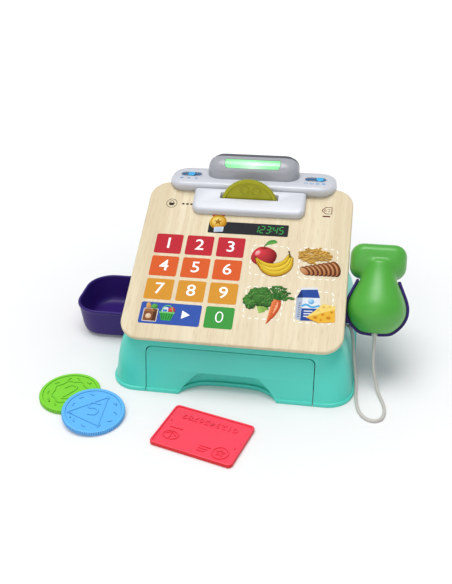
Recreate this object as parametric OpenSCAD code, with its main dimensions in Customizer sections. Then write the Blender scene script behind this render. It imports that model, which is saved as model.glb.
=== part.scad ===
// Toy cash register: teal base with a drawer, tilted wooden touch panel, white top deck with a
// coin slot and card reader, coin tray, hand scanner on a cord, loose coins and a play card.
// Millimetres. Origin: centre of the base's footprint, on the surface it stands on.
// X runs to the right, Y to the back, Z up.

/* [Base] */
// Width of the base at the floor
base_w = 252; // [240:1:262]
// Depth of the base at the floor
base_d = 216; // [212:1:224]
// Corner radius of the base in plan
base_r = 28; // [20:1:34]
// Wall thickness of the housing
wall = 2.6; // [2:0.1:3.2]

/* [Touch panel] */
// Width of the wooden panel
panel_w = 224.6; // [218:0.2:228]
// Length of the wooden panel along its slope
panel_l = 200; // [198:1:202]
// Thickness of the wooden panel
panel_t = 5; // [4:0.5:6]
// Slope of the panel from horizontal, in degrees
panel_tilt = 27.8; // [26:0.1:30]
// Height of the panel's lower front edge
panel_z = 64.45; // [62:0.05:68]

/* [Drawer] */
// Width of the drawer front
drawer_w = 171; // [160:1:176]
// Height of the drawer front
drawer_h = 47.6; // [44:0.2:48]
// How far the drawer opens
drawer_travel = 95; // [60:1:95]

/* [Accessories] */
// Radius of the play coins
coin_r = 31.3; // [29:0.1:31.4]
// Thickness of the play coins
coin_t = 5; // [4:0.1:5.2]
// Width of the play card
card_w = 85.6; // [80:0.2:90]
// Depth of the play card
card_d = 59; // [50:0.5:62]
// Thickness of the play card
card_t = 4.5; // [3:0.1:4.8]

/* [Scanner] */
// Slope of the scanner's handle as it lies in its cradle, in degrees
scanner_tilt = 60; // [55:1:65]
// Largest radius of the scanner's handle
bulb_r = 29.2; // [26:0.1:29.4]
// Diameter of the scanner's cord
cord_d = 3.4; // [3:0.1:3.8]

/* [Hidden] */
$fn = 48;
eps = 0.01;
front = -base_d / 2;
half_base = base_w / 2;

// Rings of the base's bell-shaped skirt and the housing above it:
// height, half width, front edge, back edge, corner radius.
skirt = [
    [0, half_base, 0, base_d, base_r],
    [3.6, half_base, 0, base_d, base_r],
    [5, half_base - 1.2, 1.6, base_d - 1.4, base_r - 1],
    [9, half_base - 2.6, 3.4, base_d - 3, base_r - 2],
    [16, half_base - 3.8, 5.2, base_d - 4.6, base_r - 3],
    [26, half_base - 5.2, 7.6, base_d - 6.4, base_r - 4],
    [36, half_base - 7.4, 10.2, base_d - 8, base_r - 5],
    [44, half_base - 9.8, 12.4, base_d - 9.2, base_r - 6],
    [50, half_base - 12.6, 14.2, base_d - 9.8, base_r - 7],
    [55, half_base - 15.4, 16, base_d - 10, base_r - 8],
    [61, half_base - 17.2, 18, base_d - 10, base_r - 8],
    [84, half_base - 21, 26, base_d - 10, base_r - 8],
    [140, half_base - 34, 40, base_d - 10, base_r - 10]];

drawer_gap = 0.8;
drawer_top_r = 6;
notch_top = 24;
deck_z = 46.6;
deck_t = 2.4;
box_front = 25;
box_back = 176;
box_half = 82;
box_floor = 4.4;
box_top = 43;
runner_h = 12;
plate_t = 2.4;
post_x = 100;
post_y = [36, 186];

// The coin slot is a vertical prism through the bezel, the panel and the chute.
slot_half = 31.75;
slot_y0 = 153.4;
slot_y1 = 160.5;
slot_coin_z = 142.9;
flap_y = 147;
flap_z = 109.9;
flap_travel = 75;

deck_top = 165;
deck_half = 93;
top_deck_base = 140;
switch_x = 69.5;
switch_y = 187;
switch_l = 23.5;
switch_w = 12;
reader_top = 185;
reader_half = 51;
plate_top = 182.2;
swipe_y0 = 196;
swipe_y1 = 202;

tray_z = 2.4;
tray_top = 38;
tray_x0 = -192.5;
tray_x1 = -127;

battery_z = [80.5, 97, 113.5];
battery_y = 193.6;
speaker_x = 62;
speaker_z = 97;

// Tip and bearing of the coin that leans on the other one
blue_lean = 6.3;
blue_bearing = 141;

// Lowest point of the scanner's handle, where its cord comes out
scanner_x = 142.6;
scanner_y = 52;
scanner_z = 59;
cradle_wall = 2.4;
cradle_gap = 0.6;
// Shift of the head from the handle's middle
head_x = -1.2;
// Heights of the screws that hold the handle's halves together
boss_z = [26, 56];
// Handle outline: distance along the handle from the cord's exit, and radius there
handle = [[0, 9], [1.2, 14], [4.5, 19.2], [9, 23.6], [13.5, 26.6], [18.5, 28.6],
    [24, bulb_r], [29, 28.7], [34.5, 27], [41, 24.2], [48, 21], [55, 18], [62, 15.4],
    [70, 13.4]];

gland_x = 112.4;
gland_y = 72;
gland_z = 53;
cord_r = cord_d / 2;
// Centre line of the cord from the gland, over the floor, to the scanner; Y from the base's front
cord_route = [
    [112.4, 72, 53], [114.4, 72, 53], [117, 71, 52.2], [120, 68, 48], [121.8, 63.5, 40],
    [123, 58, 30.6], [124.6, 51.6, 20.4], [126.4, 45, 11.6], [127.8, 38, 5],
    [128, 30, 2], [128.4, 20, 1.8], [129.4, 8, 1.8], [132.2, -3.6, 1.8], [137.6, -11.6, 1.8],
    [144.2, -14.8, 1.8], [150.4, -13.6, 1.8], [154.8, -8.2, 1.8], [156.6, 2, 1.8],
    [155.2, 13, 1.8], [152, 24, 2], [149.4, 31.6, 4], [147.6, 36.2, 9], [145.4, 39.2, 16.6],
    [143.8, 41.6, 24.6], [143.1, 43.6, 33], [142.8, 45.1, 41], [142.7, 46.6, 48],
    [142.6, 48.4, 52.75], [142.6, 50.7, 56.75]];

// ---- shared shapes ----

// Outline of a rectangle with round corners; left and right pairs have their own radius
function round_rect(x0, x1, y0, y1, rl, rr, n = 7) = [
    for (c = [[x1 - rr, y0 + rr, rr, -90], [x1 - rr, y1 - rr, rr, 0],
        [x0 + rl, y1 - rl, rl, 90], [x0 + rl, y0 + rl, rl, 180]])
    for (k = [0:n]) [c[0] + c[2] * cos(c[3] + 90 * k / n), c[1] + c[2] * sin(c[3] + 90 * k / n)]];

// Closed skin over a stack of outlines that all have the same number of points
module skin(outlines) {
    m = len(outlines[0]);
    last = len(outlines) - 1;
    points = [for (ring = outlines) each ring];
    sides = [for (i = [0:last - 1]) for (k = [0:m - 1])
        let (a = i * m + k, b = i * m + (k + 1) % m) each [[a, a + m, b], [b, a + m, b + m]]];
    ends = [[for (k = [0:m - 1]) k], [for (k = [m - 1:-1:0]) last * m + k]];
    polyhedron(points, concat(ends, sides), convexity = 6);
}

// Stack of round rectangles: each row is height, x0, x1, y0, y1, left radius, right radius
module loft(rows) {
    skin([for (r = rows)
        [for (p = round_rect(r[1], r[2], r[3], r[4], r[5], r[6])) [p[0], p[1], r[0]]]]);
}

module base_loft(inset) {
    loft([for (s = skirt) [s[0], inset - s[1], s[1] - inset, front + s[2] + inset,
        front + s[3] - inset, s[4] - inset, s[4] - inset]]);
}

module slab(x0, x1, y0, y1, z0, z1) {
    translate([x0, y0, z0]) cube([x1 - x0, y1 - y0, z1 - z0]);
}

module round_slab(w, d, h, r) {
    linear_extrude(h) polygon(round_rect(-w / 2, w / 2, -d / 2, d / 2, r, r));
}

module rod_y(r, y0, y1) {
    translate([0, y1, 0]) rotate([90, 0, 0]) cylinder(r = r, h = y1 - y0);
}

// Places children in the panel's own frame: X across, Y up the slope, Z out of its face
module on_panel() {
    translate([0, front + 3, panel_z]) rotate([panel_tilt, 0, 0]) children();
}

module below_panel(depth) {
    on_panel() translate([-200, -100, -depth - 300]) cube([400, 420, 300]);
}

// Places children in the scanner's frame: Z along the handle, -Y out towards the user
module in_cradle() {
    translate([scanner_x, front + scanner_y, scanner_z]) rotate([scanner_tilt - 90, 0, 0])
        children();
}

module screw(r, h, head_r, head_h) {
    cylinder(r = r, h = h);
    cylinder(r = head_r, h = head_h);
}

module slot_prism(grow) {
    slab(-slot_half - grow, slot_half + grow, front + slot_y0 - grow, front + slot_y1 + grow,
        30, 200);
}

// ---- base ----

module drawer_outline(gap) {
    half = drawer_w / 2 + gap;
    top = drawer_h + gap;
    translate([0, front + 20, 0]) rotate([90, 0, 0]) linear_extrude(40)
        polygon(concat([[-half, -10], [half, -10]],
            [for (k = [0:6]) [half - drawer_top_r + drawer_top_r * cos(15 * k),
                top - drawer_top_r + drawer_top_r * sin(15 * k)]],
            [for (k = [6:12]) [-half + drawer_top_r + drawer_top_r * cos(15 * k),
                top - drawer_top_r + drawer_top_r * sin(15 * k)]]));
}

module base_housing() {
    color("#54BFB0") difference() {
        intersection() {
            difference() {
                base_loft(0);
                difference() {
                    base_loft(wall);
                    slab(-200, 200, front - 10, front + 300, 137.4, 150);
                }
                slab(-half_base + base_r, half_base - base_r, front + 24, -front - 24, -5, 1);
                slab(-84, 84, front + 164, front + 203.4, 130, 150);
                translate([0, 0, -eps]) linear_extrude(wall + 2 * eps)
                    polygon(round_rect(wall - half_base, half_base - wall, front + wall,
                        -front - wall, base_r - wall, base_r - wall));
            }
            below_panel(panel_t);
        }
        drawer_outline(drawer_gap);
        slot_prism(2);
        // Battery door opening, speaker slits, gland hole and the two accessory sockets
        slab(-36.4, 36.4, front + 200, front + 210, 68, 130);
        for (k = [0:6])
            slab(speaker_x - 18, speaker_x + 18, front + 200, front + 210,
                speaker_z - 16 + 5 * k, speaker_z - 13.6 + 5 * k);
        translate([100, front + gland_y, gland_z]) rotate([0, 90, 0]) cylinder(r = 3.4, h = 20);
        slab(100, 130, front + 61.6, front + 86.4, 61.6, 77.4);
        slab(-130, -104, front + 105.6, front + 146.4, 28.6, 34.4);
    }
}

module bottom_plate() {
    color("#4AB0A2") difference() {
        linear_extrude(plate_t) difference() {
            polygon(round_rect(wall + 0.3 - half_base, half_base - wall - 0.3,
                front + wall + 0.3, -front - wall - 0.3, base_r - wall - 0.3,
                base_r - wall - 0.3));
            polygon([[-drawer_w / 2 - 0.8, front - 5], [drawer_w / 2 + 0.8, front - 5],
                [drawer_w / 2 + 0.8, front + 27], [-drawer_w / 2 - 0.8, front + 27]]);
        }
        for (x = [-post_x, post_x], y = post_y) translate([x, front + y, -1]) {
            cylinder(r = 1.7, h = 6);
            cylinder(r = 3.4, h = 2.2);
        }
        for (x = [-84, 84], y = [60, 196]) translate([x, front + y, -1]) cylinder(r = 6.05, h = 2.2);
    }
}

module rubber_feet() {
    color("#8F9A98") for (x = [-84, 84], y = [60, 196])
        translate([x, front + y, 0]) cylinder(r = 6, h = 1.2);
}

module housing_screws() {
    color("silver") for (x = [-post_x, post_x], y = post_y)
        translate([x, front + y, 0.2]) screw(1.45, 14, 3, 1);
}

module inner_deck() {
    color("#D9DDE2") difference() {
        union() {
            translate([0, front + 110, deck_z]) round_slab(216, 176, deck_t, 16);
            for (x = [-post_x, post_x], y = post_y)
                translate([x, front + y, plate_t]) cylinder(r = 4, h = deck_z - plate_t + 1);
            slab(-60, 60, front + 76, front + 79, 43.6, deck_z + eps);
        }
        for (x = [-post_x, post_x], y = post_y)
            translate([x, front + y, 0]) cylinder(r = 1.5, h = 18);
        slot_prism(2.2);
    }
}

module drawer_runners() {
    color("#D9DDE2") for (s = [-1, 1]) translate([s * 85.2, 0, 0])
        slab(-2.4, 2.4, front + 30, front + 198, plate_t, plate_t + runner_h);
}

// ---- drawer ----

// Half outline of the finger notch from the floor to the middle of its top edge
notch_side = [[50.5, -10], [50.5, 1], [48.6, 4.6], [44.6, 9.4], [39, 15.8], [34.6, 20.2],
    [30.6, 22.8], [26, notch_top]];

module notch_prism() {
    translate([-1, front + 30, 0]) rotate([90, 0, 0]) linear_extrude(40)
        polygon(concat(notch_side, [for (k = [len(notch_side) - 1:-1:0])
            [-notch_side[k][0], notch_side[k][1]]]));
}

// Plan of the notch's lower lip, which curves back under the drawer front
lip_curve = [[52.6, 0.6], [48.6, 3.4], [44.6, 8], [38, 13.2], [29, 17], [16, 18.6], [0, 19]];

module notch_lip() {
    outer = concat([for (p = lip_curve) [p[0] - 1, front + p[1]]],
        [for (k = [len(lip_curve) - 2:-1:0]) [-lip_curve[k][0] - 1, front + lip_curve[k][1]]]);
    inner = [for (p = outer) [p[0] * 1.055, p[1] + 2.2]];
    linear_extrude(4.8) polygon(concat(outer, [for (k = [len(inner) - 1:-1:0]) inner[k]]));
}

module drawer_front() {
    color("#54BFB0") {
        difference() {
            intersection() {
                difference() {
                    base_loft(0);
                    base_loft(wall);
                    slab(-60, 60, front + 4.8, front + 30, -1, 5.6);
                }
                drawer_outline(0);
                slab(-100, 100, front - 1, front + 24, 0, 60);
            }
            notch_prism();
        }
        notch_lip();
        // Two ties join the front to the box behind it
        for (x = [-70, 70]) slab(x - 5, x + 5, front + 11, front + box_front, 8, 36);
    }
}

module drawer_box() {
    y0 = front + box_front;
    y1 = front + box_back;
    color("#4AB0A2") {
        difference() {
            slab(-box_half, box_half, y0, y1, box_floor, box_top);
            slab(2 - box_half, box_half - 2, y0 + 2, y1 - 2, box_floor + 2, box_top + 1);
        }
        slab(-8, 8, y1 - 2, y1, box_top - eps, 45.8);
    }
}

// ---- touch panel and electronics ----

module touch_panel() {
    color("#E6D3B0") difference() {
        on_panel() loft([
            [-panel_t, 1.2 - panel_w / 2, panel_w / 2 - 1.2, 1.2, panel_l - 1.2, 20, 20],
            [-panel_t + 1.2, -panel_w / 2, panel_w / 2, 0, panel_l, 21.2, 21.2],
            [-1.2, -panel_w / 2, panel_w / 2, 0, panel_l, 21.2, 21.2],
            [-0.4, 0.4 - panel_w / 2, panel_w / 2 - 0.4, 0.4, panel_l - 0.4, 20.8, 20.8],
            [0, 1.3 - panel_w / 2, panel_w / 2 - 1.3, 1.3, panel_l - 1.3, 20, 20]]);
        slot_prism(0);
    }
}

module touch_sensor_board() {
    color("#2E7D4F") on_panel() difference() {
        translate([0, 88, -panel_t - 1.8]) round_slab(172, 124, 1.6, 6);
        for (x = [-80, 80], y = [34, 142]) translate([x, y, -10]) cylinder(r = 1.6, h = 10);
    }
}

module main_circuit_board() {
    color("#1F6B43") translate([0, front + 100, 54]) difference() {
        round_slab(120, 70, 1.6, 3);
        for (x = [-54, 54], y = [-29, 29]) translate([x, y, -1]) cylinder(r = 1.6, h = 4);
    }
}

module board_components() {
    color("#2B2D31") translate([0, front + 100, 55.6]) {
        slab(-12, 8, -10, 6, 0, 2.2);
        slab(22, 34, 8, 16, 0, 2);
        slab(-46, -30, -24, -17, 0, 6);
        slab(30, 46, -26, -19, 0, 6);
        for (x = [-44, -34]) translate([x, 12, 0]) cylinder(r = 3.2, h = 9);
    }
    // Standoffs under the board
    color("#D9DDE2") for (x = [-54, 54], y = [-29, 29])
        translate([x, front + 100 + y, deck_z + deck_t]) cylinder(r = 3, h = 54 - deck_z - deck_t);
}

module coin_slot_bezel() {
    half = 61.5;
    color("#E9EBF5") difference() {
        on_panel() intersection() {
            loft([[0, -half, half, 157, 200, 9, 9], [4.6, -half, half, 157, 200, 9, 9],
                [6.6, 0.7 - half, half - 0.7, 157.7, 200, 8.4, 8.4],
                [7.6, 2 - half, half - 2, 159, 200, 7.4, 7.4],
                [8, 3.8 - half, half - 3.8, 160.8, 200, 6, 6]]);
            translate([-80, 150, -1]) cube([160, 36.9, 12]);
        }
        slot_prism(0);
    }
}

module coin_chute() {
    color("#3A3D44") difference() {
        intersection() {
            slab(-slot_half - 2, slot_half + 2, front + slot_y0 - 2, front + slot_y1 + 2,
                deck_z, 160);
            below_panel(panel_t);
        }
        slot_prism(0.2);
        slab(-5.4, 5.4, front + slot_y0 - 3, front + slot_y0 + 1, 92, 115);
    }
    // Lugs that carry the flap's pin
    color("#3A3D44") for (s = [-1, 1]) difference() {
        slab(s * 7.4 - 1.4, s * 7.4 + 1.4, front + flap_y - 3.4, front + slot_y0 - 2 + eps,
            flap_z - 4, flap_z + 4);
        translate([s * 7.4 - 3, front + flap_y, flap_z]) rotate([0, 90, 0]) cylinder(r = 1.3, h = 6);
    }
}

module coin_flap() {
    color("#8C9096") {
        translate([-9.6, front + flap_y, flap_z]) rotate([0, 90, 0]) cylinder(r = 1.25, h = 19.2);
        slab(-4.6, 4.6, front + flap_y, front + 159, flap_z - 0.8, flap_z + 1.2);
        translate([-4.6, front + flap_y, flap_z]) rotate([0, 90, 0]) cylinder(r = 2.4, h = 9.2);
    }
}

// ---- top deck ----

module top_deck_loft(inset) {
    function row(z, side, y0, y1, r) = [z, side + inset - deck_half, deck_half - side - inset,
        front + y0 + inset, front + y1 - inset, r - inset, r - inset];
    loft([row(top_deck_base, 1.2, 172, 207, 16), row(150, 0.4, 171, 210.6, 17),
        row(152.4, 0, 169.6, 211.4, 18), row(155, 0, 167.6, 212, 18), row(158, 0, 165.6, 212, 18),
        row(160.6, 0.6, 165, 211.4, 18), row(162.8, 2, 165.8, 210, 17.4),
        row(164.2, 4.4, 168, 207.8, 16), row(deck_top - inset, 8, 171.6, 204, 14)]);
}

module top_deck() {
    color("#E9EBF5") difference() {
        top_deck_loft(0);
        translate([0, 0, -1]) top_deck_loft(2.4);
        // The panel slides into this slot
        on_panel() translate([-200, -100, -panel_t - 0.05]) cube([400, 300.3 + panel_l - 200,
            panel_t + 0.1]);
        for (s = [-1, 1]) translate([s * switch_x, front + switch_y, deck_top - 1.6])
            round_slab(switch_l, switch_w, 4, 5.6);
        for (s = [-1, 1]) translate([s * switch_x, front + switch_y, deck_top - 6])
            round_slab(16.4, 4.4, 8, 1.2);
    }
}

module switch_trims() {
    color("#1E4E78") for (s = [-1, 1]) translate([s * switch_x, front + switch_y, deck_top - 1.6])
        difference() {
            round_slab(switch_l - 0.2, switch_w - 0.2, 0.7, 5.5);
            translate([0, 0, -1]) round_slab(16.4, 4.4, 4, 1.2);
        }
}

module slide_switches() {
    color("#2B2D31") for (s = [-1, 1])
        slab(s * switch_x - 11, s * switch_x + 11, front + switch_y - 4, front + switch_y + 4,
            deck_top - 9.4, deck_top - 4.4);
}

module slider_knob(x) {
    color("#3FB8E8") translate([x, front + switch_y, 0]) {
        translate([0, 0, deck_top - 0.7]) round_slab(7.6, 8.2, 1.9, 2.4);
        slab(-1.6, 1.6, -1.8, 1.8, deck_top - 4.2, deck_top);
    }
}

module volume_slider() { slider_knob(-switch_x); }

module mode_slider() { slider_knob(switch_x + 4.8); }

// ---- card reader ----

module reader_loft(inset) {
    function row(z, side, y0, r) = [z - inset, side + inset - reader_half,
        reader_half - side - inset, front + y0 + inset, front + 210 - inset,
        r - inset, r - inset];
    loft([row(deck_top, 0, 177, 15), row(171.6, 0, 177.4, 15), row(175, 0.5, 178, 15),
        row(178, 1.4, 179.4, 14.6), row(180.6, 3, 181.4, 14), row(182.8, 5.4, 184, 12.6),
        row(184.3, 8.6, 187, 10.8), row(reader_top, 12.6, 190.4, 8.6)]);
}

module window_prism() {
    translate([0, front + 188.6, 0]) rotate([90, 0, 0]) linear_extrude(20)
        polygon([[-30.4, 184.2], [-30.4, 180.4], [-27.4, 177.6], [27.4, 177.6], [30.4, 180.4],
            [30.4, 184.2]]);
}

// Hollow behind the sloping front, where the lights sit
module reader_hollow() {
    translate([-44, 0, 0]) rotate([90, 0, 90]) linear_extrude(88)
        polygon([[front + 180.4, 160], [front + 180.4, 175.4], [front + 184, 179.4],
            [front + 189.4, 182.6], [front + 194, 182.6], [front + 194, 160]]);
}

module card_reader_front() {
    color("#C9CBD3") difference() {
        intersection() {
            reader_loft(0);
            slab(-60, 60, front + 170, front + swipe_y0, 160, 190);
        }
        reader_hollow();
        window_prism();
    }
}

module light_window() {
    color("#B5F2B8") difference() {
        intersection() {
            reader_loft(0.15);
            window_prism();
        }
        reader_hollow();
    }
}

// The back plate stands a little higher than the front, with round upper corners
module back_outline() {
    half = reader_half - 1;
    r = 12;
    translate([0, front + 212, 0]) rotate([90, 0, 0]) linear_extrude(212 - swipe_y1)
        polygon(concat([[-half, deck_top], [half, deck_top]],
            [for (k = [0:6]) [half - r + r * cos(15 * k), plate_top - r + r * sin(15 * k)]],
            [for (k = [6:12]) [r - half + r * cos(15 * k), plate_top - r + r * sin(15 * k)]]));
}

module card_reader_back() {
    color("#8A8C93") difference() {
        intersection() {
            back_outline();
            union() {
                reader_loft(0);
                slab(-60, 60, front + 198, front + 207, deck_top - 1, plate_top + 1);
            }
        }
        slab(-44, 44, front + swipe_y1 + 2, front + 207.4, deck_top - 1, plate_top - 2.4);
    }
}

module light_board() {
    color("#1F6B43") slab(-26, 26, front + 190.4, front + 192, 167, 181);
    color("#F4F4E8") for (x = [-18, 0, 18]) translate([x, front + 190.4, 178.6]) rotate([90, 0, 0])
        cylinder(r = 2, h = 2);
}

// ---- power and sound ----

module battery_box() {
    color("#3A3D44") difference() {
        slab(-36, 36, front + 184, front + 203.3, 68.4, 129.6);
        slab(-34.4, 34.4, front + 185.6, front + 204, 70.4, 122.6);
        translate([0, front + 190, 126.4]) rod_y(1.3, 0, 20);
    }
}

module batteries() {
    color("#C9A227") for (z = battery_z) translate([-24.5, front + battery_y, z])
        rotate([0, 90, 0]) {
            cylinder(r = 7.1, h = 48);
            translate([0, 0, 48]) cylinder(r = 2.6, h = 1.4);
        }
}

module battery_contacts() {
    color("silver") for (z = battery_z) {
        slab(-34.3, -33.7, front + 188, front + 199, z - 5, z + 5);
        slab(33.7, 34.3, front + 188, front + 199, z - 5, z + 5);
        translate([-33.7, front + battery_y, z]) rotate([0, 90, 0]) cylinder(r1 = 5, r2 = 2.6, h = 9);
        translate([25, front + battery_y, z]) rotate([0, 90, 0]) cylinder(r = 2.6, h = 8.7);
    }
}

module battery_door() {
    color("#4AB0A2") difference() {
        slab(-36, 36, front + 203.6, front + 206, 68.4, 129.6);
        translate([0, front + 200, 126.4]) rod_y(1.7, 0, 10);
        translate([0, front + 205, 126.4]) rod_y(3, 0, 3);
        for (k = [0:4]) slab(-14, 14, front + 205.4, front + 207, 74 + 3 * k, 75.2 + 3 * k);
    }
}

module battery_door_screw() {
    color("silver") translate([0, 0, 126.4]) {
        rod_y(1.25, front + 194, front + 205.2);
        rod_y(2.7, front + 205.2, front + 205.9);
    }
}

module speaker() {
    color("#2B2D31") translate([speaker_x, 0, speaker_z]) {
        rod_y(20.5, front + 200.6, front + 203.3);
        rod_y(17, front + 195, front + 200.6);
        rod_y(12, front + 188, front + 195);
    }
}

// ---- coin tray ----

module coin_tray() {
    function row(z, out, r) = [z, tray_x0 + out, tray_x1 - out / 2, front + 84 + out,
        front + 168 - out, r, 8];
    color("#4B2A93") {
        difference() {
            loft([row(tray_z, 6.4, 22), row(5, 4.6, 24), row(16, 2.8, 26), row(34.6, 1, 28),
                row(35.4, 0, 29), row(tray_top - 0.6, 0, 29), row(tray_top, 0.6, 28.4)]);
            loft([row(5.4, 8, 20), row(9, 6, 22), row(20, 4.6, 24), row(tray_top + 1, 2.4, 27)]);
        }
        // Flange and hook that plug into the base's side
        slab(tray_x1 - 1.4, -117.5, front + 106, front + 146, 29, 34);
        slab(-117.5 - eps, -111, front + 106, front + 146, 29, 34);
        slab(-112, -110, front + 108, front + 144, 25.6, 29 + eps);
    }
}

// ---- scanner and its cradle ----

// Handle as a true solid of revolution, grown all round; it shapes the cradle too
module handle_round(grow) {
    rotate_extrude($fn = 64) polygon(concat([[0, -grow], [handle[0][1] + grow, -grow]],
        [for (p = handle) if (p[0] > max(0, -grow)) [p[1] + grow, p[0]]],
        [[0, handle[len(handle) - 1][0]]]));
}

// Upright round-cornered block of the head, from y0 at the user's side to y1
module head_block(y0, y1, w, h, r) {
    translate([head_x, y1, 72]) rotate([90, 0, 0]) round_slab(w, h, y1 - y0, r);
}

module scanner_half(side) {
    near = side < 0 ? -60 : 0;
    difference() {
        intersection() {
            handle_round(0);
            slab(-60, 60, near, near + 60, -5, 69);
        }
        // Hollow inside, with the screw bosses left standing
        difference() {
            handle_round(-2.4);
            for (z = boss_z) translate([0, 0, z]) rod_y(4, -40, 40);
        }
        translate([0, 0, -3]) cylinder(r = 2.6, h = 8);
        for (z = boss_z) translate([0, 0, z]) {
            rod_y(1.15, -8.3, 9.3);
            rod_y(2.6, 9.2, 40);
        }
    }
}

module scanner_front_shell() {
    color("#5DBB45") in_cradle() scanner_half(-1);
}

module scanner_rear_shell() {
    color("#55AD40") in_cradle() scanner_half(1);
}

// The head's open face looks away from the user
module scanner_head_shell() {
    color("#5DBB45") in_cradle() difference() {
        union() {
            head_block(-4, 36, 56, 36, 12.4);
            head_block(-8, -4 + eps, 46, 27, 12);
        }
        head_block(-1.6, 33.6, 51.2, 31.2, 10);
        // The neck enters through the front
        translate([0, 0, 50]) cylinder(r1 = 20.6, r2 = 13.9, h = 20.2);
        slab(head_x - 22, head_x + 22, 20, 50, 58.6, 85.4);
    }
}

module scanner_cord_relief() {
    color("#BDB8B0") in_cradle() difference() {
        translate([0, 0, -3.6]) cylinder(r = 2.5, h = 8.4);
        translate([0, 0, -4]) cylinder(r = cord_r + 0.12, h = 1.6);
    }
}

module scanner_tip() {
    color("#2B2D31") in_cradle() translate([head_x - 21.6, 31.6, 59]) cube([43.2, 3.6, 26]);
}

module scanner_light_board() {
    color("#1F6B43") in_cradle() {
        translate([-17, 20, 60]) cube([34, 1.6, 22]);
        translate([0, 21.6, 72]) rod_y(2.5, 0, 5);
    }
}

module scanner_screws() {
    color("silver") in_cradle() for (z = boss_z) translate([0, 0, z]) {
        rod_y(1.1, -8, 9.4);
        rod_y(2.4, 9.3, 10.5);
    }
}

module scanner_cradle() {
    color("#4B2A93") {
        in_cradle() difference() {
            intersection() {
                handle_round(cradle_gap + cradle_wall);
                slab(-60, 60, 0, 60, -10, 60);
            }
            handle_round(cradle_gap);
            translate([0, 0, 53.6]) rotate([-18, 0, 0]) slab(-60, 60, -10, 80, 0, 40);
            slab(-3, 3, -10, 14, -20, 12);
        }
        difference() {
            slab(103, 121, front + 62, front + 86, 62, 77);
            in_cradle() handle_round(cradle_gap + cradle_wall - 0.4);
        }
    }
}

module cradle_screws() {
    color("silver") for (z = [66, 73]) translate([102.9, front + 74, z]) rotate([0, -90, 0])
        cylinder(r = 2, h = 2);
}

// ---- cord ----

module cord_gland() {
    color("#BDB8B0") translate([0, front + gland_y, gland_z]) rotate([0, 90, 0]) difference() {
        union() {
            translate([0, 0, gland_x - 8]) cylinder(r = 3.3, h = 8);
            translate([0, 0, gland_x - 8]) cylinder(r = 3.9, h = 1.2);
        }
        translate([0, 0, gland_x - 9]) cylinder(r = cord_r, h = 8);
    }
}

// Point of a smooth curve through the route, a share t along stretch i
function spline(p, i, t) = let (
    a = p[max(i - 1, 0)], b = p[i], c = p[i + 1], d = p[min(i + 2, len(p) - 1)])
    0.5 * ((2 * b) + (c - a) * t + (2 * a - 5 * b + 4 * c - d) * t * t
        + (3 * b - a - 3 * c + d) * t * t * t);
function unit(v) = v / norm(v);

module cord() {
    steps = 2;
    line = concat([for (i = [0:len(cord_route) - 2]) for (k = [0:steps - 1])
        spline(cord_route, i, k / steps)], [cord_route[len(cord_route) - 1]]);
    last = len(line) - 1;
    side_ref = [0.2, 0.35, 0.1];
    color("#BDB8B0") translate([0, front, 0]) skin([for (i = [0:last])
        let (t = i == 0 ? [1, 0, 0] : unit(line[min(i + 1, last)] - line[max(i - 1, 0)]),
            a = unit(cross(t, side_ref)), b = cross(t, a))
        [for (k = [0:7]) line[i] + cord_r * (cos(45 * k) * a + sin(45 * k) * b)]]);
}

// ---- coins and card ----

module coin() {
    rotate_extrude($fn = 96) polygon([[0, 0.4], [coin_r - 3.4, 0.4], [coin_r - 3.4, 0],
        [coin_r - 0.5, 0], [coin_r, 0.5], [coin_r, coin_t - 0.5], [coin_r - 0.5, coin_t],
        [coin_r - 3.4, coin_t], [coin_r - 3.4, coin_t - 0.4], [0, coin_t - 0.4]]);
}

module slot_coin() {
    color("#9A9B24") translate([0, front + 157 + coin_t / 2, slot_coin_z]) rotate([90, 0, 0])
        coin();
}

module green_coin() {
    color("#84DB3F") translate([-161.4, front - 18, 0]) coin();
}

// The blue coin leans on the green one: it is tipped about the edge that stays on the floor
module blue_coin() {
    color("#6CBEFA") translate([-127.1, front - 45.8, 0]) rotate([0, 0, blue_bearing])
        translate([-coin_r + 0.5, 0, 0]) rotate([0, -blue_lean, 0]) translate([coin_r - 0.5, 0, 0])
            coin();
}

module play_card() {
    color("#F4425A") translate([-14, front - 60.1, 0]) rotate([0, 0, -14.9]) difference() {
        round_slab(card_w, card_d, card_t, 4.5);
        for (z = [card_t - 0.8, -1]) translate([0, 0, z])
            round_slab(card_w - 4.4, card_d - 4.4, z > 0 ? 2 : 1.8, 3.2);
    }
}

base_housing();
bottom_plate();
rubber_feet();
housing_screws();
inner_deck();
drawer_runners();
drawer_front();
drawer_box();
touch_panel();
touch_sensor_board();
main_circuit_board();
board_components();
coin_slot_bezel();
coin_chute();
coin_flap();
top_deck();
switch_trims();
slide_switches();
volume_slider();
mode_slider();
card_reader_front();
card_reader_back();
light_window();
light_board();
battery_box();
batteries();
battery_contacts();
battery_door();
battery_door_screw();
speaker();
coin_tray();
scanner_cradle();
cradle_screws();
cord_gland();
cord();
scanner_front_shell();
scanner_rear_shell();
scanner_head_shell();
scanner_cord_relief();
scanner_tip();
scanner_light_board();
scanner_screws();
slot_coin();
green_coin();
blue_coin();
play_card();
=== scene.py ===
import math
import random

import bpy
import bmesh
from mathutils import Matrix, Vector


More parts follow.
